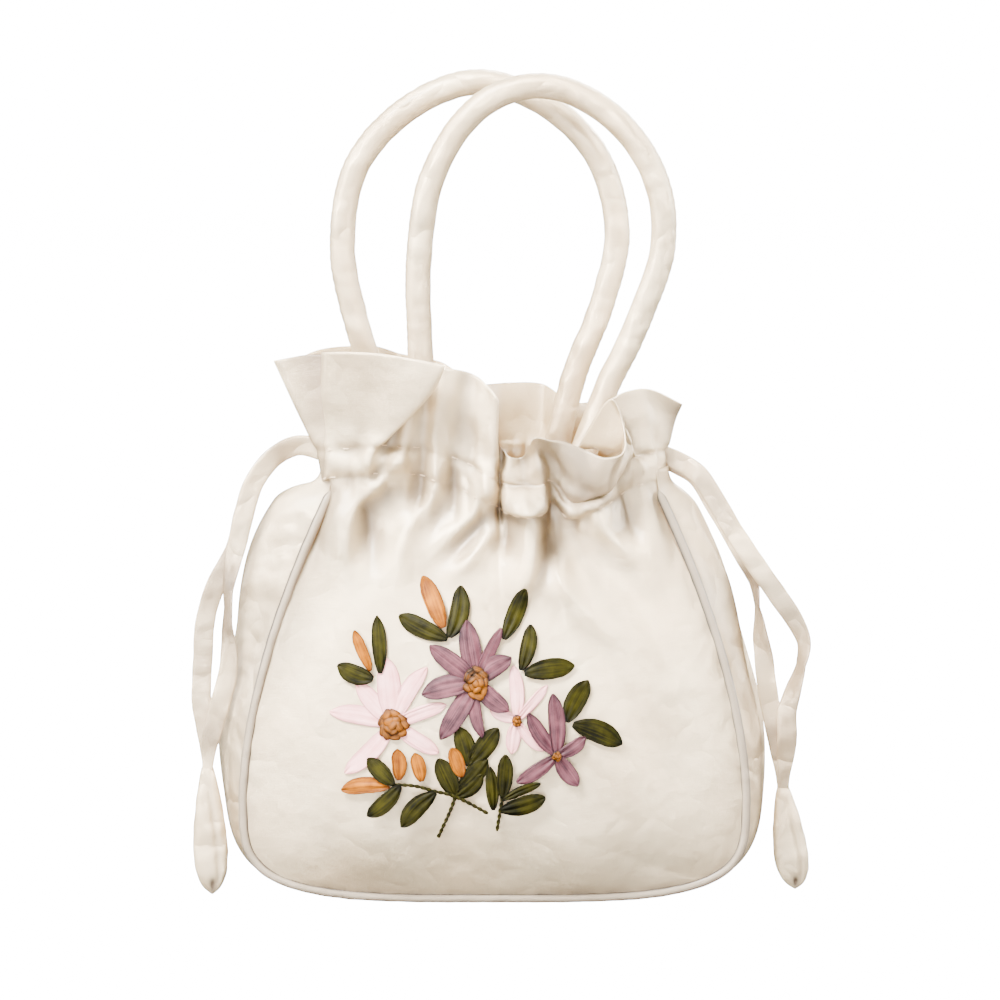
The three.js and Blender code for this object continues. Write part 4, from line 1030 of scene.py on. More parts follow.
class Side:
    """The front or the back of the bag: its folds, its collar and the line where they meet."""

    def __init__(self, name, sign, folds, collar, seed):
        self.name = name
        self.sign = sign
        self.folds = folds
        self.collar = collar
        self.seed = seed
        self.line = spline(collar[:, :3], np.linspace(0, 1, 12 * len(collar)))
        self.even = np.linspace(self.line[0, 0], self.line[-1, 0], 280)
        self.calm = blurred(self.neck(self.even)[0][None], CALM_PASSES)[0]

    def neck(self, x):
        """How far out and how high the lower stitch line is."""
        out = np.interp(x, self.line[:, 0], self.line[:, 1])
        return out, np.interp(x, self.line[:, 0], self.line[:, 2])

    def wrinkles(self, x, z):
        """Small gathers at the neck, puckers along the piping and slack in the cloth between."""
        neck_z = self.neck(x / half_width(z) * PANEL_TOP_HALF_WIDTH)[1]
        below = np.abs(neck_z - z)
        gathers = NECK_GATHER * bell(below, NECK_REACH) * ripples(self.seed, 4, 10)(x, below * 0.2)
        dent = STITCH_DENT * bell(below, STITCH_DENT_REACH)
        drawn = np.maximum(ripples(self.seed + 2, 9, 20)(x, z * 0.25), 0) ** 2
        creases = NECK_CREASE * drawn * smooth((NECK_CREASE_REACH - below) / NECK_CREASE_FADE)
        slack = SLACK * smooth(3 - 3 * edge_share(x, z)) * ripples(self.seed + 1, 34, 76)(x, z)
        at_seam = bell(seam_inset(x, z), SEAM_PUCKER_REACH)
        puckers = SEAM_PUCKER * at_seam * ripples(self.seed + 3, 7, 15)(x, z)
        return gathers - dent - creases + slack + puckers

    def relief(self, x, z):
        """Folds and wrinkles on top of the plain shape."""
        inside = smooth((1 - edge_share(x, z)) * 12)
        return fold_relief(self.folds, x, z) * inside + self.wrinkles(x, z)

    def depth(self, x, z, across=None):
        """Distance of the outer face from the middle plane, drawn into the neck at the top."""
        share = x / half_width(z) if across is None else across
        neck_out, neck_z = self.neck(share * PANEL_TOP_HALF_WIDTH)
        rise = (z - PANEL_WIDEST_AT) / (neck_z - PANEL_WIDEST_AT)
        pull = clamp((rise - GATHER_FROM) / (1 - GATHER_FROM)) ** GATHER_GROWTH
        calm_out = np.interp(share * PANEL_TOP_HALF_WIDTH, self.even, self.calm)
        drawn = mix(calm_out, neck_out, bell(neck_z - z, NECK_REACH))
        return mix(plain_depth(x, z), drawn, pull) + self.relief(x, z)


FRONT = Side("front", -1, FRONT_FOLDS, FRONT_COLLAR, 31)
BACK = Side("back", 1, BACK_FOLDS, BACK_COLLAR, 41)


# Front and back cloth

NECK_WIDTH_POWER = 8

# Slope of the casing at its foot, its puff, and how far up the panel's folds are carried
SLOPE_STEP = 4.0
SLOPE_EASE = 0.75
SHARP_PUFF_FROM = 2.0
SHARP_PUFF_SPAN = 5.0
PUFF_HANG = 0.12
PUFF_HANG_AT = 0.28
RUFFLE_RUN = 40.0
CARRIED_TO = 4.0
CARRIED_FADE = 16.0

# Wrinkles of a collar, beside its upper stitch line
COLLAR_GATHER = 0.6
COLLAR_GATHER_REACH = 6.0
COLLAR_CREASE = 0.6
COLLAR_CREASE_AT = 4.0
COLLAR_CREASE_REACH = 14.0
RUFFLE_SLACK = 0.9
RUFFLE_SLACK_RUN = 20.0

# Shade of the hollows: passes of blur and gain, for the narrow and for the wide ones
HOLLOW_SCALES = [(20, 0.7), (80, 0.35)]
HOLLOW_BLUR = 3

# Shade along the piping: a thin line, a soft band, and a band where the left side turns away
SEAM_LINE = 0.12
SEAM_LINE_WIDTH = 2.6
SEAM_BAND = 0.18
SEAM_BAND_WIDTH = 11.0
LEFT_BAND = 0.3
LEFT_BAND_INSET = 8.0
LEFT_BAND_WIDTH = 12.0
LEFT_BAND_FROM = 70.0
LEFT_BAND_SPAN = 50.0

# Shade of the lower right of a panel, and of the wave that droops over the front casing
LOW_SHADE = 0.16
LOW_SHADE_BELOW = 75.0
LOW_SHADE_SPAN = 60.0
WAVE_SHADE = 0.75
WAVE_AT = 34.0
WAVE_WIDTH = 19.0
WAVE_FROM = 154.0
WAVE_FADE = 10.0


def panel_grid(side, foot, low_rows, high_rows):
    """A rounded trapezoid that swells out, with square-to-round spacing below its widest line.

    Its columns end on the points of the foot line, where the collar starts."""
    low = PANEL_WIDEST_AT - PANEL_BOTTOM - SEAM_TUCK
    across = foot[:, 0] / PANEL_TOP_HALF_WIDTH
    tuck = SEAM_TUCK * across**TUCK_POWER
    level = np.linspace(-1, 0, low_rows, endpoint=False)[:, None]
    square = np.maximum(np.abs(across), -level)
    total = np.abs(across) ** BOTTOM_ROUNDNESS + (-level) ** BOTTOM_ROUNDNESS
    share = square / total ** (1 / BOTTOM_ROUNDNESS)
    low_x = across * (PANEL_HALF_WIDTH - tuck) * share
    low_z = PANEL_WIDEST_AT + low * level * share
    rise = np.linspace(0, 1, high_rows)[:, None]
    high_z = mix(PANEL_WIDEST_AT, foot[:, 2], rise)
    high_x = across * mix(half_width(high_z) - tuck, PANEL_TOP_HALF_WIDTH, rise**NECK_WIDTH_POWER)
    x =np.vstack([low_x, high_x])
    z = np.vstack([low_z, high_z])
    return np.stack([x, side.sign * side.depth(x, z, across), z], axis=-1)


def collar_relief(side, up, place, sharp):
    """Gathers and a dent along the upper stitch line, creases beside it and slack in the ruffle above."""
    beside = up - CASING_HEIGHT
    dent = STITCH_DENT * (1 - 0.8 * sharp) * bell(beside, STITCH_DENT_REACH)
    near = COLLAR_GATHER * bell(beside, COLLAR_GATHER_REACH)
    gathers = near * ripples(side.seed + 6, 4, 10)(place, up * 0.2)
    drawn = np.maximum(ripples(side.seed + 7, 8, 18)(place, up * 0.2), 0) ** 2
    creases = COLLAR_CREASE * drawn * bell(beside - COLLAR_CREASE_AT, COLLAR_CREASE_REACH)
    loose = RUFFLE_SLACK * smooth(beside / RUFFLE_SLACK_RUN)
    slack = loose * ripples(side.seed + 8, 14, 40)(place, up * 0.7)
    return (gathers - dent - creases + slack) * smooth(up / 3)


def collar_grid(side, stations, casing_rows, ruffle_rows):
    """Cloth that runs on from the panel through the casing and flares out along a curve to its edge.

    The casing is a cubic curve that leaves the panel in the panel's own direction. It is puffed out
    between its stitch lines, so that a large puff hangs over the panel. The ruffle is a quadratic curve,
    bent upright by its flare and out and down by its droop."""
    foot, top, flare = stations[:, :3], stations[:, 3:6], stations[:, 6:7]
    puff, droop = stations[:, 7], stations[:, 8]
    height = CASING_HEIGHT - DROOP_LOWERS * droop
    below = mix(plain_depth(foot[:, 0], foot[:, 2] - SLOPE_STEP), foot[:, 1], SLOPE_EASE)
    level = np.zeros(len(foot))
    casing = mix(foot, top, CASING_LEAN)
    casing[:, 2] = foot[:, 2] + height
    reach = np.linalg.norm(top - casing, axis=1, keepdims=True)
    upright = casing + np.array([0.0, 0.0, 1.0]) * RUFFLE_FLARE * reach
    bend = mix(mix(casing, top, 0.5), upright, np.minimum(flare / RUFFLE_FLARE, 1))
    bend += np.stack([level, DROOP_OUT * droop, -droop], axis=-1)
    start = np.stack([level, (foot[:, 1] - below) / SLOPE_STEP, level + 1], axis=-1) * height[:, None]
    stop = unit(bend - casing) * height[:, None]
    low = np.linspace(0, 1, casing_rows, endpoint=False)[:, None, None]
    band = (
        foot * (2 * low**3 - 3 * low**2 + 1) + start * (low**3 - 2 * low**2 + low)
        + casing * (3 * low**2 - 2 * low**3) + stop * (low**3 - low**2)
    )
    rise = low[..., 0]
    sharp = smooth((puff - SHARP_PUFF_FROM) / SHARP_PUFF_SPAN)
    swell = mix(np.sin(np.pi * rise) ** 2, np.sin(np.pi * rise**0.7) ** 0.9, sharp)
    band[..., 1] += puff * swell
    band[..., 2] -= PUFF_HANG * puff * bell(rise - PUFF_HANG_AT, PUFF_HANG_AT) * swell
    high = np.linspace(0, 1, ruffle_rows)[:, None, None]
    ruffle = casing * (1 - high) ** 2 + bend * 2 * high * (1 - high) + top * high**2
    grid = np.vstack([band, ruffle])
    up = np.concatenate([low.ravel() * CASING_HEIGHT, CASING_HEIGHT + high.ravel() * RUFFLE_RUN])[:, None]
    carried = 1 - smooth((up - CARRIED_TO) / CARRIED_FADE)
    grid[..., 1] += carried * side.relief(grid[..., 0], grid[..., 2])
    grid[..., 1] *= side.sign
    place = run_length(mix(foot, casing, 0.5))[None]
    return grid + normals(grid) * collar_relief(side, up, place, sharp)[..., None]


def painted_hollow_shade(grid, sign):
    """Painted shade of the valleys, 0 on open cloth and towards 1 where the cloth lies far behind its
    surroundings.
    """
    out = sign * grid[..., 1]
    behind = sum(np.maximum(blurred(out, passes) - out, 0) * gain for passes, gain in HOLLOW_SCALES)
    return blurred(1 - np.exp(-behind), HOLLOW_BLUR)


def seam_shade(x, z):
    """Dark along the piping, where the cloth turns into its seam, and wider high on the left."""
    inset = seam_inset(x, z)
    high_left = smooth((z - LEFT_BAND_FROM) / LEFT_BAND_SPAN) * smooth(-x / LEFT_BAND_SPAN)
    turned = LEFT_BAND * high_left * bell(inset - LEFT_BAND_INSET, LEFT_BAND_WIDTH)
    return SEAM_LINE * bell(inset, SEAM_LINE_WIDTH) + SEAM_BAND * bell(inset, SEAM_BAND_WIDTH) + turned


def front_or_back(side, columns, wing_columns, low_rows, high_rows, casing_rows, ruffle_rows):
    """One cloth from the base seam to the edge of the ruffle; the wings of the collar reach past the panel.

    The columns of the panel go on as those of the collar, evenly spaced along the collar's own stations."""
    rows = side.collar if side.sign < 0 else side.collar[::-1]
    fine = np.linspace(0, 1, 4000)
    line = spline(rows[:, :3], fine)[:, 0] * -side.sign
    first = np.interp(-PANEL_TOP_HALF_WIDTH, line, fine)
    last = np.interp(PANEL_TOP_HALF_WIDTH, line, fine)
    share = np.concatenate([
        np.linspace(0, first, wing_columns, endpoint=False),
        np.linspace(first, last, columns),
        np.linspace(last, 1, wing_columns + 1)[1:],
    ])
    parts = (rows[:, :3], rows[:, 3:6], rows[:, 6:])
    stations = np.hstack([spline(part, share) for part in parts])
    stations[:, 7:] = np.maximum(stations[:, 7:], 0)
    collar = collar_grid(side, stations, casing_rows, ruffle_rows)
    middle = slice(wing_columns, wing_columns + columns)
    body = panel_grid(side, stations[middle, :3], low_rows, high_rows)
    body[-1] = collar[0, middle]
    collar_uv = cloth_uv(collar)
    body_uv = cloth_uv(body)
    body_uv -= body_uv[-1, 0] - collar_uv[0, wing_columns]
    nodes = [f"{side.name}_panel", f"{side.name}_collar"]
    grids = [(body, body_uv), (collar, collar_uv)]
    made = piece(f"{side.name}_cloth", grids, "satin", nodes, thickness=WALL, lining="inside")
    spread = np.pad(body, ((0, 0), (wing_columns, wing_columns), (0, 0)), mode="edge")
    # Painted shade: the hollows, the seams, the lower right of a panel and the wave over the front casing
    deep = painted_hollow_shade(np.vstack([spread[:-1], collar]), side.sign)
    x, z = body[..., 0], body[..., 2]
    shaded = np.maximum(deep[: len(body), middle], seam_shade(x, z))
    shaded += LOW_SHADE * smooth(x / LOW_SHADE_SPAN) * smooth((LOW_SHADE_BELOW - z) / LOW_SHADE_SPAN)
    wave = bell(collar[..., 0] - WAVE_AT, WAVE_WIDTH) * smooth((collar[..., 2] - WAVE_FROM) / WAVE_FADE)
    wave *= WAVE_SHADE * (side.sign < 0)
    store(made, [shaded, np.maximum(deep[len(body) - 1 :], wave)])
    return collar


FRONT_CASING_ROWS = 16
BACK_CASING_ROWS = 14
front_collar = front_or_back(
    FRONT, columns=240, wing_columns=14, low_rows=40, high_rows=92,
    casing_rows=FRONT_CASING_ROWS, ruffle_rows=36,
)
back_collar = front_or_back(
    BACK, columns=180, wing_columns=12, low_rows=36, high_rows=80,
    casing_rows=BACK_CASING_ROWS, ruffle_rows=34,
)


# Running stitches

STITCH_EVERY = 6.5
STITCH_LENGTH = 3.2
STITCH_THICK = 0.5
STITCH_BED = 0.45
STITCH_ROWS = 9
STITCH_SIDES = 8
STITCH_GIRTH = 2.0


def running_stitches(side, lines):
    """Short threads that show along the stitch lines of a casing, bedded in the cloth at both ends.

    Some steps are three times as long, where the thread stays inside."""
    grids = []
    random = np.random.default_rng(side.seed)
    turn = full_turn(STITCH_SIDES)
    bedded = np.sin(np.linspace(0, np.pi, STITCH_ROWS)) * 2 - 1
    for line in lines:
        last = run_length(line)[-1] - STITCH_EVERY
        start = STITCH_EVERY
        while start < last:
            stop = start + STITCH_LENGTH * random.uniform(0.7, 1.2)
            centres = at_length(line, np.linspace(start, stop, STITCH_ROWS))
            centres[:, 1] += side.sign * STITCH_BED * bedded
            uv = ring_uv(centres, STITCH_SIDES, STITCH_GIRTH)
            grids.append((tube(centres, STITCH_THICK / 2, turn), uv))
            start += STITCH_EVERY * random.uniform(0.8, 1.2) * random.choice([1, 1, 3])
    piece(f"{side.name}_casing_stitches", grids, "satin", closed=True, material="thread")


running_stitches(FRONT, [front_collar[1], front_collar[FRONT_CASING_ROWS]])
running_stitches(BACK, [back_collar[1], back_collar[BACK_CASING_ROWS]])


# Gusset and piping

GUSSET_EASING = 6
GUSSET_FOLDS_FROM = 45.0
GUSSET_FOLDS_SPAN = 90.0
GUSSET_FOLD = 1.5
GUSSET_FINE_FOLD = 0.4
GUSSET_FOLD_SHADE = 0.14
GUSSET_SEAM_SHADE = 0.2
GUSSET_FRONT_SHADE = 0.06
GUSSET_LEFT_SHADE = 0.3

PIPING_ROWS = 420
PIPING_SIDES = 28
PIPING_GIRTH = 14.0
PIPING_TUCK = 0.03
PIPING_END_RUN = 4.0

# Painted shade lines of the piping, in the seam grooves: turn, strength and width, and what they come to
# high on the left and right
PANEL_LINE_TURN = -1.1
PANEL_LINE = 1.0
PANEL_LINE_LEFT = 0.2
PANEL_LINE_WIDTH = 0.28
PANEL_LINE_WIDTH_RIGHT = 0.6
GUSSET_LINE_TURN = 1.05
GUSSET_LINE = 0.45
GUSSET_LINE_LEFT = 1.1
GUSSET_LINE_WIDTH = 0.3
ASIDE_FROM = 40.0
HIGH_FROM = 60.0
HIGH_LEFT_SPAN = 50.0
HIGH_RIGHT_SPAN = 70.0


def piping_line(top, count):
    """Seam line from the left neck down, along the base and up to the right neck, evenly spaced."""
    side_z = np.linspace(top, PANEL_WIDEST_AT, 60, endpoint=False)
    turn = np.linspace(0, np.pi, 241)
    power = 2 / BOTTOM_ROUNDNESS
    base_x = -PANEL_HALF_WIDTH * np.sign(np.cos(turn)) * np.abs(np.cos(turn)) ** power
    base_z = PANEL_WIDEST_AT - (PANEL_WIDEST_AT - PANEL_BOTTOM) * np.sin(turn) ** power
    x = np.concatenate([-half_width(side_z), base_x, half_width(side_z)[::-1]])
    z = np.concatenate([side_z, base_z, side_z[::-1]])
    line = np.stack([x, np.zeros_like(x), z], axis=-1)
    return at_length(line, np.linspace(0, run_length(line)[-1], count))


def gusset(along_steps, across_steps):
    """A strip between the two seams that bulges outside them, flat where the bag stands.

    The bulge is a parabola across the strip, with lengthwise folds that grow towards the neck. Shade is in
    the valleys of the folds, along the seams and towards the front edge, most at the left."""
    line = eased(piping_line(GUSSET_TOP, along_steps), GUSSET_EASING)
    along = unit(np.gradient(line, axis=0))
    shoulder = np.where(line[:, 0] < 0, LEFT_SHOULDER, RIGHT_SHOULDER)
    hip = np.where(line[:, 0] < 0, LEFT_HIP, RIGHT_HIP)
    side = GUSSET_BULGE + shoulder * bell(line[:, 2] - SHOULDER_AT, SHOULDER_SPREAD)
    side += hip * bell(line[:, 2] - HIP_AT, HIP_SPREAD)
    drawn = smooth((line[:, 2] - NECK_DRAWN_FROM) / (GUSSET_TOP - NECK_DRAWN_FROM))
    bulge = mix(side, GUSSET_NECK_BULGE, drawn)
    across = np.linspace(1, -1, across_steps)[:, None]
    half_depth = piping_depth(line[:, 2]) - SEAM_TUCK
    loose = smooth((line[:, 2] - GUSSET_FOLDS_FROM) / GUSSET_FOLDS_SPAN) * (1 - across**8)
    folds = GUSSET_FOLD * ripples(51, 11, 26)(across * half_depth, line[:, 2] * 0.16)
    folds += GUSSET_FINE_FOLD * ripples(52, 6, 12)(across * half_depth, line[:, 2] * 0.12)
    folds *= loose
    out = bulge * (1 - across**2) + folds
    x = line[:, 0] + along[:, 2] * out
    z = np.maximum(0, line[:, 2] - along[:, 0] * out)
    grid = np.stack([x, across * half_depth, z], axis=-1)
    strip = [(grid, cloth_uv(grid))]
    made = piece("gusset_cloth", strip, "satin", ["gusset"], thickness=WALL, material="creased")
    front = GUSSET_FRONT_SHADE + GUSSET_LEFT_SHADE * smooth(-line[:, 0] / 40)
    shade = front * smooth((-across - 0.1) / 0.9) + GUSSET_SEAM_SHADE * np.abs(across) ** 12
    store(made, [shade + GUSSET_FOLD_SHADE * np.maximum(-folds, 0)])


def piping(side):
    """A covered cord in the seam, with its cover pulled into small tucks and closed round at both ends.

    A line of painted shade runs along the panel side, in the seam groove, and another along the gusset
    side. High on the left the first fades and the second deepens, and high on the right the first is wider."""
    line = piping_line(PIPING_TOP, PIPING_ROWS)
    line[:, 1] = side.sign * piping_depth(line[:, 2])
    turn = full_turn(PIPING_SIDES)
    place = run_length(line)[:, None]
    tucks = ripples(side.seed + 5, 4, 11)(place, turn[None] * 2.2)
    to_end = np.minimum(place, place[-1] - place)
    closed_end = np.sqrt(smooth((to_end + 0.1) / PIPING_END_RUN))
    grid = tube(line, PIPING_D / 2 * (1 + PIPING_TUCK * tucks) * closed_end, turn)
    name = f"{side.name}_piping"
    cover = [(grid, ring_uv(line, PIPING_SIDES, PIPING_GIRTH))]
    made = piece(f"{name}_cover", cover, "piping", [name], closed=True)
    outward = np.angle(np.exp(1j * (turn - np.pi * (side.sign < 0)))) * -side.sign
    x, z = line[:, :1], line[:, 2:]
    left = smooth((-ASIDE_FROM - x) / ASIDE_FROM) * smooth((z - HIGH_FROM) / HIGH_LEFT_SPAN)
    right = smooth((x - ASIDE_FROM) / ASIDE_FROM) * smooth((z - HIGH_FROM) / HIGH_RIGHT_SPAN)
    panel_width = mix(PANEL_LINE_WIDTH, PANEL_LINE_WIDTH_RIGHT, right)
    panel_groove_shade = mix(PANEL_LINE, PANEL_LINE_LEFT, left) * bell(outward - PANEL_LINE_TURN, panel_width)
    gusset_strength = mix(GUSSET_LINE, GUSSET_LINE_LEFT, left)
    gusset_groove_shade = gusset_strength * bell(outward - GUSSET_LINE_TURN, GUSSET_LINE_WIDTH)
    # Painted shade in the seam grooves beside the cord
    store(made, [panel_groove_shade + gusset_groove_shade])


gusset(along_steps=300, across_steps=48)
piping(FRONT)
piping(BACK)


# Handles

HANDLE_ROWS = 320
HANDLE_SIDES = 40
HANDLE_GIRTH = 33.0
HANDLE_FLAT_RUN = 18.0
HANDLE_CLOSE_RUN = 2.0
HANDLE_TO_WALL = 4.0
HANDLE_SEAM_TURN = 0.25
HANDLE_SEAM_DEPTH = 0.35
HANDLE_SEAM_WIDTH = 0.16
HANDLE_PUCKER = 0.22
HANDLE_PUCKER_WIDTH = 0.55
HANDLE_PUCKER_EVERY = 4.2
HANDLE_WRINKLE = 0.1
HANDLE_SLOW_WRINKLE = 0.08
HANDLE_WIDENS = 0.15
HANDLE_FLATTENS = 0.6


def handle(name, rows, seed):
    """A stuffed tube with a puckered seam along its inner side and small wrinkles all over.

    At both ends it is flattened, wider and closed, and bends to the wall that it is sewn to."""
    centres = spline(rows, np.linspace(0, 1, HANDLE_ROWS))
    turn = full_turn(HANDLE_SIDES)
    place = run_length(centres)[:, None]
    to_end = np.minimum(place, place[-1] - place)
    flat = 1 - smooth(to_end / HANDLE_FLAT_RUN)
    centres[:, 1] += np.sign(centres[0, 1]) * HANDLE_TO_WALL * flat[:, 0]
    close = 0.02 + 0.98 * smooth(to_end / HANDLE_CLOSE_RUN + 0.01)
    along = unit(np.gradient(centres, axis=0))
    sideways = np.cross(along, DEPTH_AXIS)
    inner = np.abs(np.angle(np.exp(1j * (turn - HANDLE_SEAM_TURN))))
    seam = HANDLE_SEAM_DEPTH * bell(inner, HANDLE_SEAM_WIDTH)
    beat = np.sin(place * 2 * np.pi / HANDLE_PUCKER_EVERY + ripples(seed, 20, 60)(place))
    puckers = HANDLE_PUCKER * bell(inner, HANDLE_PUCKER_WIDTH) * (0.5 + 0.5 * beat)
    wrinkles = HANDLE_WRINKLE * ripples(seed + 1, 6, 16)(place, turn[None] * 3)
    wrinkles += HANDLE_SLOW_WRINKLE * ripples(seed + 2, 40, 90)(place)
    radius = HANDLE_D / 2 - seam[None] - puckers + wrinkles
    wide = radius * (1 + HANDLE_WIDENS * flat) * close * np.cos(turn)
    thick = radius * (1 - HANDLE_FLATTENS * flat) * close * np.sin(turn)
    grid = sweep(centres, sideways, wide, thick)
    skin = [(grid, ring_uv(centres, HANDLE_SIDES, HANDLE_GIRTH))]
    made = piece(f"{name}_cloth", skin, "satin", [name], closed=True, material="creased")


handle("front_handle", FRONT_HANDLE, 61)
handle("back_handle", BACK_HANDLE, 71)


# Ribbon embroidery

RIBBON_ROWS = 32
RIBBON_COLUMNS = 25
RIBBON_CROWN = 0.22
RIBBON_BOW = 0.06
RIBBON_TILT = 0.16
RIDGE_ASIDE = 0.4
RIDGE_HEIGHT = 0.35
BASE_GATHER = 0.3
TIP_GATHER = 0.25
TURNED_BACK = 1.8
TURNED_LIFT = 0.45
LEAST_LIFT = 0.15
LEAF_FULLNESS = 1.16
BUD_FULLNESS = 1.1
BUD_ROLL = 0.3

# Share of the half width that is turned back, drawn for each petal and leaf
ROLLS = [0.0, 0.0, 0.25, 0.0, 0.4, 0.0, 0.3]

# Rings of loops in a knot: loops, share of its size from the middle, share of its height
LARGE_KNOT = [(9, 0.36, 0.5), (5, 0.17, 0.85), (1, 0.0, 1.0)]
SMALL_KNOT = [(5, 0.26, 0.7), (1, 0.0, 1.0)]
LARGE_KNOT_FROM = 8.0
KNOT_HEIGHT = 2.6
KNOT_STEEPNESS = 0.34
KNOT_FLOOR = 0.42
KNOT_LIFT = 0.4

STEM_LIFT = 0.4
STEM_ROWS = 120
STEM_SIDES = 14
STEM_RADIUS = 0.62
STEM_GROOVE = 0.28
STEM_TWIST = 1.3


def on_front(x, z, lift):
    """A place of the bouquet on the outer face of the front, lifted off it."""
    high = z + BOUQUET_RISE * smooth((BOUQUET_RISE_FROM - z) / BOUQUET_RISE_SPAN)
    return np.stack([x, -FRONT.depth(x, high) - lift, high], axis=-1)


def stitch(base, tip, width, layer, random, roll):
    """A ribbon laid on the cloth from base to tip: gathered at both ends, arched between, bowed to one side.

    Past the share 1 - roll of its half width, one edge is turned back over the ribbon."""
    share = np.linspace(0, 1, RIBBON_ROWS)[:, None]
    across = np.linspace(-1, 1, RIBBON_COLUMNS)[None]
    base, tip = np.array(base, float), np.array(tip, float)
    run = tip - base
    aside = np.array([-run[1], run[0]]) / np.linalg.norm(run)
    half = width / 2 * np.interp(share, STITCH_SHAPE[:, 0], STITCH_SHAPE[:, 1])
    bow = random.uniform(-RIBBON_BOW, RIBBON_BOW) * np.linalg.norm(run) * np.sin(np.pi * share)
    arch = np.sin(np.pi * clamp(share * 0.96 + 0.02)) ** 0.6
    hand = random.choice([-1, 1])
    over = np.maximum(across * hand - 1 + roll * arch, 0)
    reach = across - hand * TURNED_BACK * over
    turned = smooth(over / 0.1)
    x = base[0] + run[0] * share + aside[0] * (half * reach + bow)
    z = base[1] + run[1] * share + aside[1] * (half * reach + bow)
    tilt = random.uniform(-RIBBON_TILT, RIBBON_TILT)
    ridge = random.uniform(-RIDGE_ASIDE, RIDGE_ASIDE)
    fold = RIDGE_HEIGHT * random.uniform(-0.6, 1) * bell(reach - ridge, 0.2) * arch
    gathers = np.cos(across * 8 + random.uniform(0, 6)) * smooth(share * 6)
    gathers = BASE_GATHER * (1 - share) ** 1.6 * gathers
    ends = TIP_GATHER * smooth((share - 0.75) / 0.25) * np.cos(across * 6 + random.uniform(0, 6))
    rise = arch * (RIBBON_CROWN * (1 - np.abs(reach) ** 2.5) + tilt * reach * half)
    lift = LAYER_LIFT + layer * LAYER_STEP + rise + fold + gathers + ends + turned * TURNED_LIFT
    grid = on_front(x, z, np.maximum(lift, LEAST_LIFT))
    uv = np.stack(np.broadcast_arrays(random.integers(1, 60) + across / 2 + 0.5, share), axis=-1)
    return grid, uv


def ribbon_piece(name, grids, slot):
    """Thin ribbon that shows a node of the embroidery."""
    piece(f"{name}_ribbon", grids, slot, [name], thickness=RIBBON_WALL)


def knot_grids(at, size, layer, random):
    """Short loops of ribbon heaped in rings on the meeting point of the petals, each arched on its own.

    A flat oval of ribbon closes the knot below the loops. Its places are all 0, so it takes the dark edge
    tone throughout: a sheet of painted shade in the gaps between the loops."""
    grids = []
    wide, tall = size
    base = LAYER_LIFT + layer * LAYER_STEP + KNOT_LIFT
    height = min(KNOT_HEIGHT, wide * KNOT_STEEPNESS)
    rings = LARGE_KNOT if wide > LARGE_KNOT_FROM else SMALL_KNOT
    bend = np.linspace(0, np.pi, 14)[:, None]
    side = np.linspace(-1, 1, 9)[None]
    for count, away, level in rings:
        for k in range(count):
            turn = 2 * np.pi * (k + random.uniform(-0.2, 0.2)) / count
            x0 = at[0] + np.cos(turn) * away * wide
            z0 = at[1] + np.sin(turn) * away * tall
            face = turn + np.pi / 2 + random.uniform(-0.7, 0.7)
            long = min(wide, tall) * random.uniform(0.17, 0.23)
            half = min(wide, tall) * random.uniform(0.11, 0.15)
            run = long * -np.cos(bend) * (1 - 0.15 * side**2)
            aside = half * side * (0.7 + 0.3 * np.sin(bend))
            rise = np.sin(bend) ** 0.7 * (1 - 0.3 * side**2) * height * level * random.uniform(0.8, 1.15)
            crease = 0.12 * np.cos(side * 5 + random.uniform(0, 6)) * np.sin(bend)
            x = x0 + np.cos(face) * run - np.sin(face) * aside
            z = z0 + np.sin(face) * run + np.cos(face) * aside
            grid = on_front(x, z, base + (level - 0.5) * height * 0.5 + rise + crease)
            ribbon_place = random.integers(1, 60) + side / 2 + 0.5
            # Along is near 0 at the feet of a loop, where the ribbon paints shade in its gathers
            uv = np.stack(np.broadcast_arrays(ribbon_place, 0.45 * np.sin(bend) ** 1.5), axis=-1)
            grids.append((grid, uv))
    floor_x = at[0] + KNOT_FLOOR * wide * np.cos(bend * 2) * np.abs(side)
    floor_z = at[1] + KNOT_FLOOR * tall * np.sin(bend * 2) * np.abs(side)
    grids.append((on_front(floor_x, floor_z, base + 0 * floor_x), np.zeros((*floor_x.shape, 2))))
    return grids


def stem_grid(points, layer):
    """Two twisted threads along a line on the cloth: a round tube with two grooves that wind about it."""
    rows = np.array(points, float)
    flat = spline(rows, np.linspace(0, 1, STEM_ROWS))
    centres = on_front(flat[:, 0], flat[:, 1], LAYER_LIFT + layer * LAYER_STEP * 0.5 + STEM_LIFT)
    turn = full_turn(STEM_SIDES)
    place = run_length(centres)[:, None]
    grooves = STEM_GROOVE * np.cos(2 * (turn[None] - place * STEM_TWIST))
    grid = tube(centres, STEM_RADIUS * (1 + grooves), turn)
    ring = np.append(turn, 2 * np.pi)[None]
    strands = 0.5 + 0.49 * np.cos(ring - place * STEM_TWIST)
    uv = np.stack(np.broadcast_arrays(strands, 0.4 + 0 * place), axis=-1)
    return grid, uv


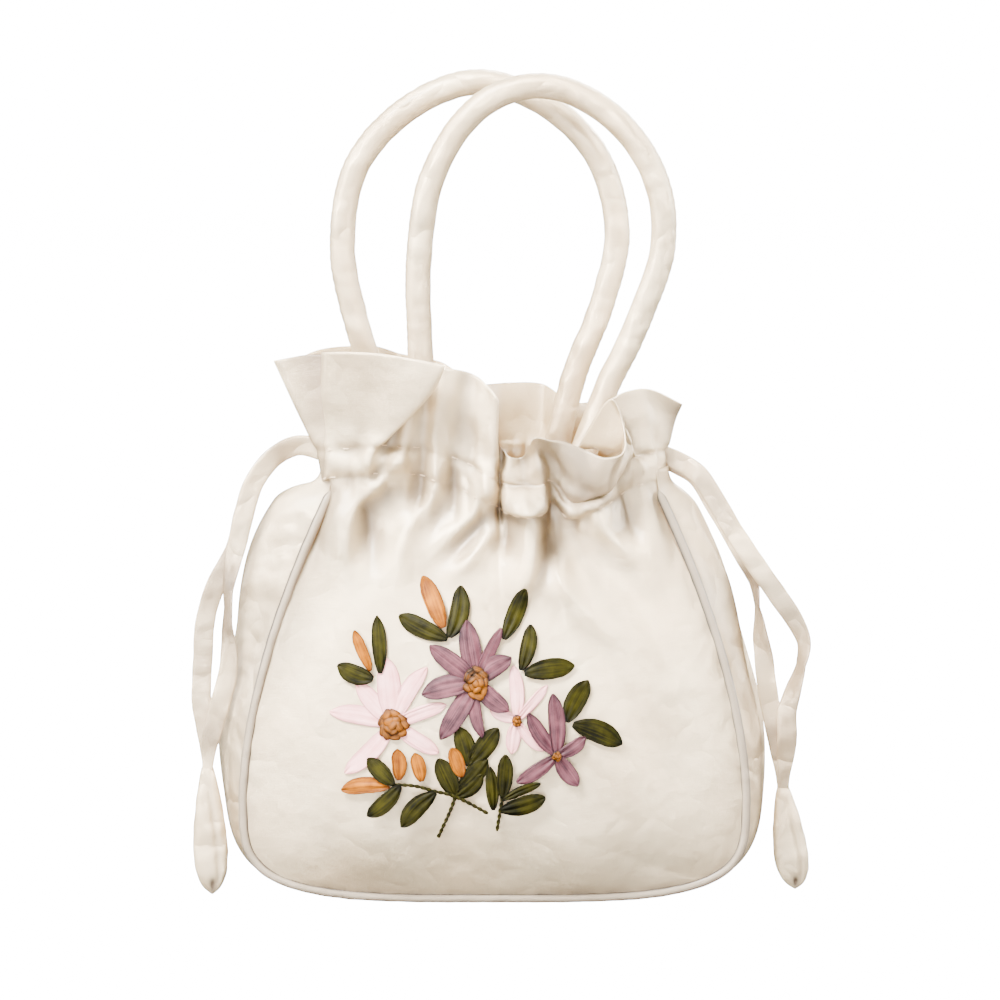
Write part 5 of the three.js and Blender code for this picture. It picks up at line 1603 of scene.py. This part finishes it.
for number, (name, bloom) in enumerate(FLOWERS.items()):
    random = np.random.default_rng(100 + number)
    petals = [
        stitch(bloom["at"], (x, z), LEAF_FULLNESS * width, bloom["layer"], random, random.choice(ROLLS))
        for x, z, width in bloom["petals"]
    ]
    ribbon_piece(name, petals, bloom["ribbon"])
    loops = knot_grids(bloom["at"], bloom["knot"], bloom["layer"], random)
    ribbon_piece(f"{name}_knot", loops, "gold_ribbon")

for number, (name, spray) in enumerate(SPRAYS.items()):
    random = np.random.default_rng(200 + number)
    leaves = [
        stitch((bx, bz), (tx, tz), LEAF_FULLNESS * width, spray["layer"], random, random.choice(ROLLS))
        for bx, bz, tx, tz, width in spray["leaves"]
    ]
    ribbon_piece(name, leaves, "green_ribbon")
    for k, points in enumerate(spray["stems"]):
        piece(f"{name}_stem_{k}", [stem_grid(points, spray["layer"])], "green_ribbon", closed=True)

for number, (name, (bx, bz, tx, tz, width)) in enumerate(BUDS.items()):
    random = np.random.default_rng(300 + number)
    bud = stitch((bx, bz), (tx, tz), BUD_FULLNESS * width, BUD_LAYER, random, BUD_ROLL)
    ribbon_piece(name, [bud], "orange_ribbon")


# Floor

FLOOR_REACH = 4.0
FLOOR_WHITE = (0.9, 0.9, 0.9, 1)
FLOOR_ROUGHNESS = 0.9
FLOOR_GLOW = 16
floor_corners = [(x * FLOOR_REACH, y * FLOOR_REACH, 0) for x, y in [(-1, -1), (1, -1), (1, 1), (-1, 1)]]
floor_mesh = bpy.data.meshes.new("floor")
floor_mesh.from_pydata(floor_corners, [], [(0, 1, 2, 3)])
floor = bpy.data.objects.new("floor", floor_mesh)
paper = bpy.data.materials.new("floor")
paper.use_nodes = True
sheet = paper.node_tree.nodes["Principled BSDF"].inputs
sheet["Base Color"].default_value = FLOOR_WHITE
sheet["Roughness"].default_value = FLOOR_ROUGHNESS
sheet["Emission Color"].default_value = (1, 1, 1, 1)
sheet["Emission Strength"].default_value = FLOOR_GLOW
floor.visible_diffuse = False
floor.visible_glossy = False
floor_mesh.materials.append(paper)
bpy.context.scene.collection.objects.link(floor)

bpy.context.view_layer.update()
